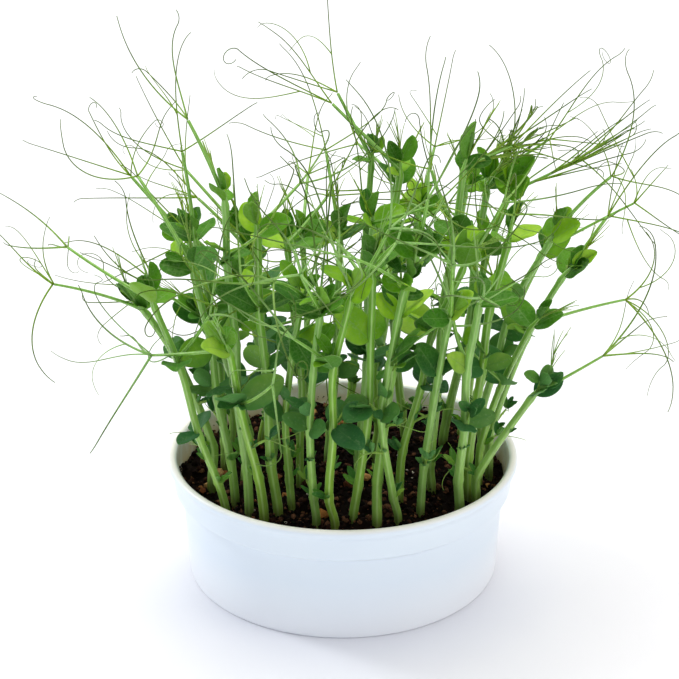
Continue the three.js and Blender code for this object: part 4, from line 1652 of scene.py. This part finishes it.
@dataclass
class DressedShoot:
    """One shoot: stem, stipules, stalks, branching tendrils, tip, side shoots and scale leaves."""

    plant: Plant
    maker: MeshMaker = field(default_factory=MeshMaker)
    stem_sides: int = 12
    steps_per_span: int = 9
    blade_rows: int = 14
    blade_columns: int = 10
    blade_thickness: float = 0.5
    leaflet_rows: int = 8
    leaflet_columns: int = 6
    leaflet_thickness: float = 0.35
    hub_tendrils: int = 2
    sheaf_tendrils: int = 14
    comb_tendrils: int = 7
    coiled_share: float = 0.1
    sheaves: tuple[int, ...] = (21, 28, 30)

    def draws(self, organ: int, kind: Kind) -> Draws:
        """Returns the draws for one organ of the shoot."""
        return Draws(self.plant.shoot, organ, kind)

    @property
    def sheaf(self) -> bool:
        """Tells whether the shoot's tip is a sheaf of young stalks and tendrils."""
        return self.plant.shoot in self.sheaves

    def stem(self) -> None:
        """Adds the stem: squarish, a little swollen at its nodes and tapering into its tip."""
        plant = self.plant
        foot = Vec(plant.collar.x, plant.collar.y, SIZE.level - SIZE.root_depth)
        path = smooth_path([foot, *plant.points], self.steps_per_span)
        draws = self.draws(5, Kind.LOOK)
        bloom, stout = draws.between(0.0, 0.5), draws.between(0.78, 1.0)
        radii = []
        for p in path:
            share = min(1.0, max(0.0, (p.z - SIZE.level) / plant.length))
            radius = mix(SIZE.stem_base, SIZE.stem_top, share) * stout
            near = min(p.distance(node.point) for node in plant.nodes)
            radius *= 1 + 0.2 * math.exp(-((near / 1.5) ** 2))
            radii.append(radius * min(1.0, 0.4 + p.distance(plant.tip) / 9))
        self.maker.tube(path, radii, self.stem_sides, Slot.STEM.value, bloom, ridges=0.11)

    def stalk(self, path: Path) -> None:
        """Adds a stalk: slim, a little flattened, flared where it leaves the stem.

        Args:
            path: The stalk's curve.
        """
        count = len(path.points) - 1
        slim = [mix(SIZE.stalk_radius, SIZE.stalk_end, i / count) * 0.95 for i in range(count + 1)]
        radii = [radius + 0.35 * math.exp(-i / 0.8) for i, radius in enumerate(slim)]
        self.maker.tube(path.points, radii, 8, Slot.STEM.value, 0.2, ridges=0.05, flatness=0.85)

    def whip(self, points: Sequence[Vec], twig: Twig, bloom: float) -> None:
        """Adds a tendril or small stalk that thins towards its end.

        Args:
            points: Its centre line.
            twig: The kind of tendril or stalk.
            bloom: How much pale bloom it has, from 0 to 1.
        """
        count = len(points) - 1
        radii = [mix(twig.thick, twig.thin, (i / count) ** 0.8) for i in range(count + 1)]
        self.maker.tube(points, radii, twig.sides, Slot.TENDRIL.value, bloom)

    def hook(self, path: Path, draws: Draws) -> list[Vec]:
        """Carries a tendril's points on in a lazy bend or, now and then, a tight coil.

        Args:
            path: The tendril.
            draws: The draws to use.

        Returns:
            The points of its centre line.
        """
        points = list(path.points)
        end, way = points[-1], path.way
        axis = way.cross(draws.vector()).unit()
        coiled = draws.next() < self.coiled_share
        turn = draws.between(0.2, 0.38) if coiled else draws.between(0.02, 0.16)
        step, tighten = draws.between(0.7, 1.3), draws.between(1.0, 1.08)
        for _ in range(int(draws.between(8, 24) if coiled else draws.between(2, 12))):
            way = way.turned(axis, turn)
            turn *= tighten
            end = end.plus(way, step)
            if not Crowd.fits(end, 0.3):
                break
            points.append(end)
        return points

    @staticmethod
    def side_shoot(start: Vec, along: Vec, draws: Draws, twig: Twig, slant: float = 1.15) -> Optional[Path]:
        """Grows a fine tendril that leaves a point at a slant.

        Args:
            start: Where it leaves the stalk.
            along: The stalk's unit heading there.
            draws: The draws to use.
            twig: The kind of tendril.
            slant: The most that it turns away, in radians.

        Returns:
            The tendril, or None if there is no room for it.
        """
        bend = min(1.0, slant)
        for _ in range(8):
            axis = along.cross(draws.vector()).unit()
            way = along.turned(axis, draws.between(0.3 * slant, slant))
            twist = axis.turned(way, draws.between(-1.4, 1.4))
            length = draws.between(*twig.reach)
            turn, curl = bend * draws.between(-1.5, 1.5), bend * draws.between(-1.7, 1.7)
            path = sweep(start, way, twist, length, turn, curl, 18, 3)
            if all(Crowd.fits(p, 0.6) for p in path.points[2:]):
                return path
        return None

    def sprays(self, node: Node) -> None:
        """Adds all the tendrils of a stalk: those of its solid, and the finer ones that part from them.

        Args:
            node: The stalk's node.
        """
        draws = self.draws(node.place, Kind.SPRAY)
        bloom = self.bloom(draws)
        stalk = node.stalk
        # The tallest stalks have the thinnest tendrils, and the fewest.
        thin = 0.12 * min(1.0, max(0.0, (stalk.points[-1].z - 130) / 35))
        main = Twig(0.4 + 0.18 * bloom - 0.6 * thin, 0.15, 5)
        for tendril in node.tendrils:
            self.whip(self.hook(tendril, draws), main, bloom)
            if draws.next() < (0.6 - 3 * thin if tendril.finger == 0 else 0.12):
                at = int(draws.between(2, 11))
                side = self.side_shoot(tendril.points[at], tendril.along(at), draws, SIDE_TENDRIL)
                if side:
                    self.whip(self.hook(side, draws), SIDE_TENDRIL, bloom)
        for _ in range(self.hub_tendrils - round(16 * thin) if node.rank == 0 else 0):
            side = self.side_shoot(stalk.points[-1], stalk.way, draws, HUB_TENDRIL)
            if side:
                self.whip(self.hook(side, draws), HUB_TENDRIL, bloom)
        for _ in range(self.sheaf_tendrils if self.sheaf and node.rank == 0 else 0):
            start = stalk.points[int(draws.between(1, 11))]
            side = self.side_shoot(start, stalk.way, draws, SHEAF_TENDRIL, 0.3)
            if side:
                self.whip(self.hook(side, draws), SHEAF_TENDRIL, 0.1)
        side = self.side_shoot(stalk.points[9], stalk.along(9), draws, STALK_TENDRIL)
        if side and draws.next() < 0.25:
            self.whip(self.hook(side, draws), STALK_TENDRIL, bloom)

    def bloom(self, draws: Draws) -> float:
        """Returns how much bloom the tendrils have: most at the front of the tub, little at the back."""
        return max(0.0, min(0.75, (-self.plant.tip.y - 18) / 55 + draws.between(-0.2, 0.2)))

    def side_leaves(self, node: Node) -> None:
        """Adds the young side shoot in a leaf's axil: a short stalk with two to four small leaves.

        Args:
            node: The leafy node.
        """
        draws = self.draws(node.place, Kind.AXIL)
        if draws.next() > (0.45 if node.rank == 0 else 0.85):
            return
        facing = node.azimuth + draws.between(-50, 50)
        way = heading(facing, draws.between(25, 65))
        length = draws.between(*AXIL_STALK.reach)
        stalk = sweep(node.socket, way, heading(facing + 90, 0), length, -0.4, 0.0, 4, 2)
        self.whip(stalk.points, AXIL_STALK, 0.3)
        for n in range(int(draws.between(2, 4.9))):
            leaf_way = heading(facing + (n - 1) * draws.between(50, 90), draws.between(-15, 60))
            roll, length = draws.between(-50, 50), draws.between(6, 11)
            self.leaflet(stalk.points[max(1, 4 - n)], leaf_way, roll, length, 0.4, draws, 0.85)

    def apex(self) -> None:
        """Adds the tip: small folded young stipules round a comb of straight young tendrils."""
        draws = self.draws(0, Kind.APEX)
        tip = self.plant.tip
        up = tip.minus(self.plant.points[-2]).unit()
        facing = draws.between(0, 360)
        for n in range(3):
            bend = heading(facing + 180 * n + draws.between(-20, 20), 0)
            way = up.plus(bend, draws.between(0.2, 0.6)).unit()
            length = draws.between(7, 12) * (1 if n < 2 else 0.6) * (1.4 if self.sheaf else 1)
            self.leaflet(tip.plus(up, -1.5 + 0.6 * n), way, draws.between(-60, 60), length, 0.9, draws)
        lean = up.plus(heading(facing + 90, 0), draws.between(0.1, 0.6)).unit()
        across = lean.cross(heading(facing, 0)).unit()
        length, turn = draws.between(*TIP_STALK.reach), draws.between(-0.6, 0.6)
        stalk = sweep(tip.plus(up, -1), lean, across, length, turn, 0, 6, 2)
        bloom = self.bloom(draws)
        self.whip(stalk.points, TIP_STALK, bloom)
        # The comb's tendrils are still folded up along one side of the stalk's end.
        for n in range(self.comb_tendrils):
            lean = stalk.way.turned(across, draws.between(-0.3, 0.3))
            lean = lean.turned(stalk.way, draws.between(-0.5, 0.5))
            length, turn = draws.between(*COMB_TENDRIL.reach), draws.between(-0.35, 0.35)
            tooth = sweep(stalk.points[min(6, 2 + n)], lean, across, length, turn, 0.0, 6, 3)
            self.whip(tooth.points, COMB_TENDRIL, bloom)

    def leaflet(
        self, root: Vec, way: Vec, roll: float, length: float, fold: float, draws: Draws, breadth: float = 0.8
    ) -> None:
        """Adds a small young leaf.

        Args:
            root: Where it leaves its stem.
            way: Its midrib's unit heading.
            roll: How far it is rolled about the midrib, in degrees.
            length: The midrib's length.
            fold: How steeply its halves fold up.
            draws: The draws for its waves and tint.
            breadth: Its breadth, as a share of a stipule's.
        """
        azimuth = math.degrees(math.atan2(way.y, way.x))
        elevation = math.degrees(math.asin(max(-1.0, min(1.0, way.z))))
        blade = grow_blade(root, azimuth, elevation, roll, length, fold, -0.05)
        blade.half *= breadth
        self.maker.blade(blade, self.leaflet_rows, self.leaflet_columns, self.leaflet_thickness, draws)

    def scale_leaves(self) -> None:
        """Adds the small three-pointed scale leaves of the low nodes, some with a short side shoot."""
        draws = self.draws(0, Kind.SCALE)
        low, first = self.plant.nodes[:2]
        above = low.point.towards(first.point, draws.between(0.4, 0.6))
        for spot, size in ((low.point, draws.between(4.5, 7.5)), (above, draws.between(3, 5.5))):
            facing = low.azimuth + (180 if spot is above else 0)
            for hand, reach in ((-1, 0.8), (0, 1.0), (1, 0.8)):
                way = heading(facing + hand * draws.between(30, 55), draws.between(25, 65))
                self.leaflet(spot, way, draws.between(-30, 30), size * reach + 1, 0.6, draws, 0.5)
            if draws.next() < 0.4:
                way = heading(facing + draws.between(-20, 20), draws.between(30, 60))
                length = draws.between(*BUD_STALK.reach)
                bud = sweep(spot, way, heading(facing + 90, 0), length, 0.4, 0.0, 4, 2)
                self.whip(bud.points, BUD_STALK, 0.3)
                for hand in (-1, 0, 1):
                    leaf_way = heading(facing + hand * 60, draws.between(25, 70))
                    self.leaflet(bud.points[-1], leaf_way, 0, draws.between(4, 7), 0.6, draws, 0.6)
                for _ in range(3):
                    side = self.side_shoot(bud.points[-1], bud.way, draws, BUD_TENDRIL)
                    if side:
                        self.whip(side.points, BUD_TENDRIL, 0.4)

    def build(self, materials: Sequence[bpy.types.Material]) -> None:
        """Builds the whole shoot and puts it in place of its solid.

        Args:
            materials: One material for each slot.
        """
        self.stem()
        self.scale_leaves()
        self.apex()
        look = self.draws(9, Kind.LOOK)
        for node in self.plant.leafy():
            for blade in node.blades:
                self.maker.blade(blade, self.blade_rows, self.blade_columns, self.blade_thickness, look)
            self.side_leaves(node)
            if node.stalk:
                self.stalk(node.stalk)
                self.sprays(node)
        name = f"shoot_{self.plant.shoot + 1:02d}"
        seat(self.maker.make(f"pea_{name}", materials), "shoots", name)


@dataclass
class ShootCanopy:
    """The crowd of shoots, each one piece, in the same four skins."""

    plants: list[Plant]
    stem_skin: PeaStemSkin = PeaStemSkin(
        "pea_stem_skin",
        low="#8bb143",
        high="#6fa62c",
        ridge_highlight="#c8e898",
        ridge_highlight_share=0.45,
        bloom="#9ac678",
        roughness=0.27,
    )
    upper_skin: PeaLeafTissue = PeaLeafTissue(
        "pea_stipule_upper_skin",
        ((0.0, "#275e0d"), (0.3, "#45880d"), (0.6, "#6fb113"), (0.85, "#9ed522"), (1.0, "#c4ec50")),
        "#8fbd5c",
    )
    underside: PeaLeafTissue = PeaLeafTissue(
        "pea_stipule_underside",
        ((0.0, "#4a822c"), (0.4, "#60992a"), (0.75, "#7cb034"), (1.0, "#9ac64c")),
        "#9cc774",
        wax="#5c9454",
        roughness=0.52,
    )
    tendril_skin: PeaStemSkin = PeaStemSkin(
        "pea_tendril_skin",
        low="#9cbb3a",
        high="#8aaf2e",
        ridge_highlight="#c6e264",
        ridge_highlight_share=0.3,
        bloom="#abd68c",
        dry="#4a6418",
        dry_share=0.85,
        specular=0.14,
        glow_share=0.3,
    )

    def build(self) -> None:
        """Builds every shoot, with the skins in the order of the slots."""
        skins = (self.stem_skin, self.upper_skin, self.underside, self.tendril_skin)
        materials = [skin.material() for skin in skins]
        for plant in self.plants:
            DressedShoot(plant).build(materials)


# ---- Stage ----


@dataclass
class Studio:
    """The pale floor, the soft light and the camera."""

    distance: float = 0.650
    elevation: float = 22.5
    aim_height: float = 0.097
    lens: float = 87.85
    frame: int = 679
    off_centre: float = 3.25
    floor_reach: float = 6000
    surround: str = "#f2f6ff"
    surround_strength: float = 0.67

    def floor(self) -> None:
        """Makes the pale floor."""
        maker = MeshMaker()
        square = ((0, 0), (1, 0), (1, 1), (0, 1))
        reach = self.floor_reach
        corners = [maker.vertex(Vec((2 * x - 1) * reach, (2 * y - 1) * reach, 0)) for x, y in square]
        maker.face(corners, square)
        maker.make("floor", [PaintedBoard().material()])

    def lights(self) -> None:
        """Adds a pale surround, a soft skylight above and a little behind the tub, and two windows."""
        world = bpy.data.worlds.new("pale_room")
        bpy.context.scene.world = world
        world.use_nodes = True
        back = world.node_tree.nodes["Background"]
        back.inputs["Color"].default_value = linear(self.surround)
        back.inputs["Strength"].default_value = self.surround_strength
        for name, strength, width, colour, way in (
            ("skylight", 2.0, 46, "#fff8ea", (0.0, -0.27, -1.0)),
            ("side_window", 1.0, 12, "#f6faff", (0.85, -0.45, -0.6)),
            ("far_window", 0.5, 30, "#fff3e2", (-0.85, 0.25, -0.55)),
        ):
            light = bpy.data.lights.new(name, "SUN")
            light.energy, light.angle, light.color = strength, math.radians(width), linear(colour)[:3]
            sun = bpy.data.objects.new(name, light)
            sun.rotation_mode = "QUATERNION"
            sun.rotation_quaternion = Vector(way).to_track_quat("-Z", "Y")
            bpy.context.scene.collection.objects.link(sun)
        bpy.context.scene.view_settings.view_transform = "Standard"

    def camera(self) -> None:
        """Places the camera in front, a little above the canopy."""
        data = bpy.data.cameras.new("camera")
        data.lens, data.sensor_width = self.lens, 36.0
        data.shift_x = -self.off_centre / self.frame
        data.clip_end = 30.0
        camera = bpy.data.objects.new("camera", data)
        away, up = math.cos(math.radians(self.elevation)), math.sin(math.radians(self.elevation))
        camera.location = (0, -self.distance * away, self.aim_height + self.distance * up)
        camera.rotation_euler = (math.radians(90 - self.elevation), 0, 0)
        bpy.context.scene.collection.objects.link(camera)
        bpy.context.scene.camera = camera

    def build(self) -> None:
        """Builds the stage."""
        self.floor()
        self.lights()
        self.camera()


def corners(bounds: tuple[Vector, Vector]) -> list[list[float]]:
    """Returns a box's two corners as plain lists."""
    return [list(bounds[0]), list(bounds[1])]


def main() -> None:
    """Builds the stage, the tub, the mix and the shoots, and logs how many shoots grew."""
    logging.basicConfig(level=logging.INFO, format="%(name)s: %(message)s")
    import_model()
    Studio().build()
    plants = grow_shoots()
    log.info("%d shoots grown", len(plants))
    Tub().build()
    PottingMix([plant.collar for plant in plants]).build()
    ShootCanopy(plants).build()
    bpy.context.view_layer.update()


if __name__ == "__main__":
    main()
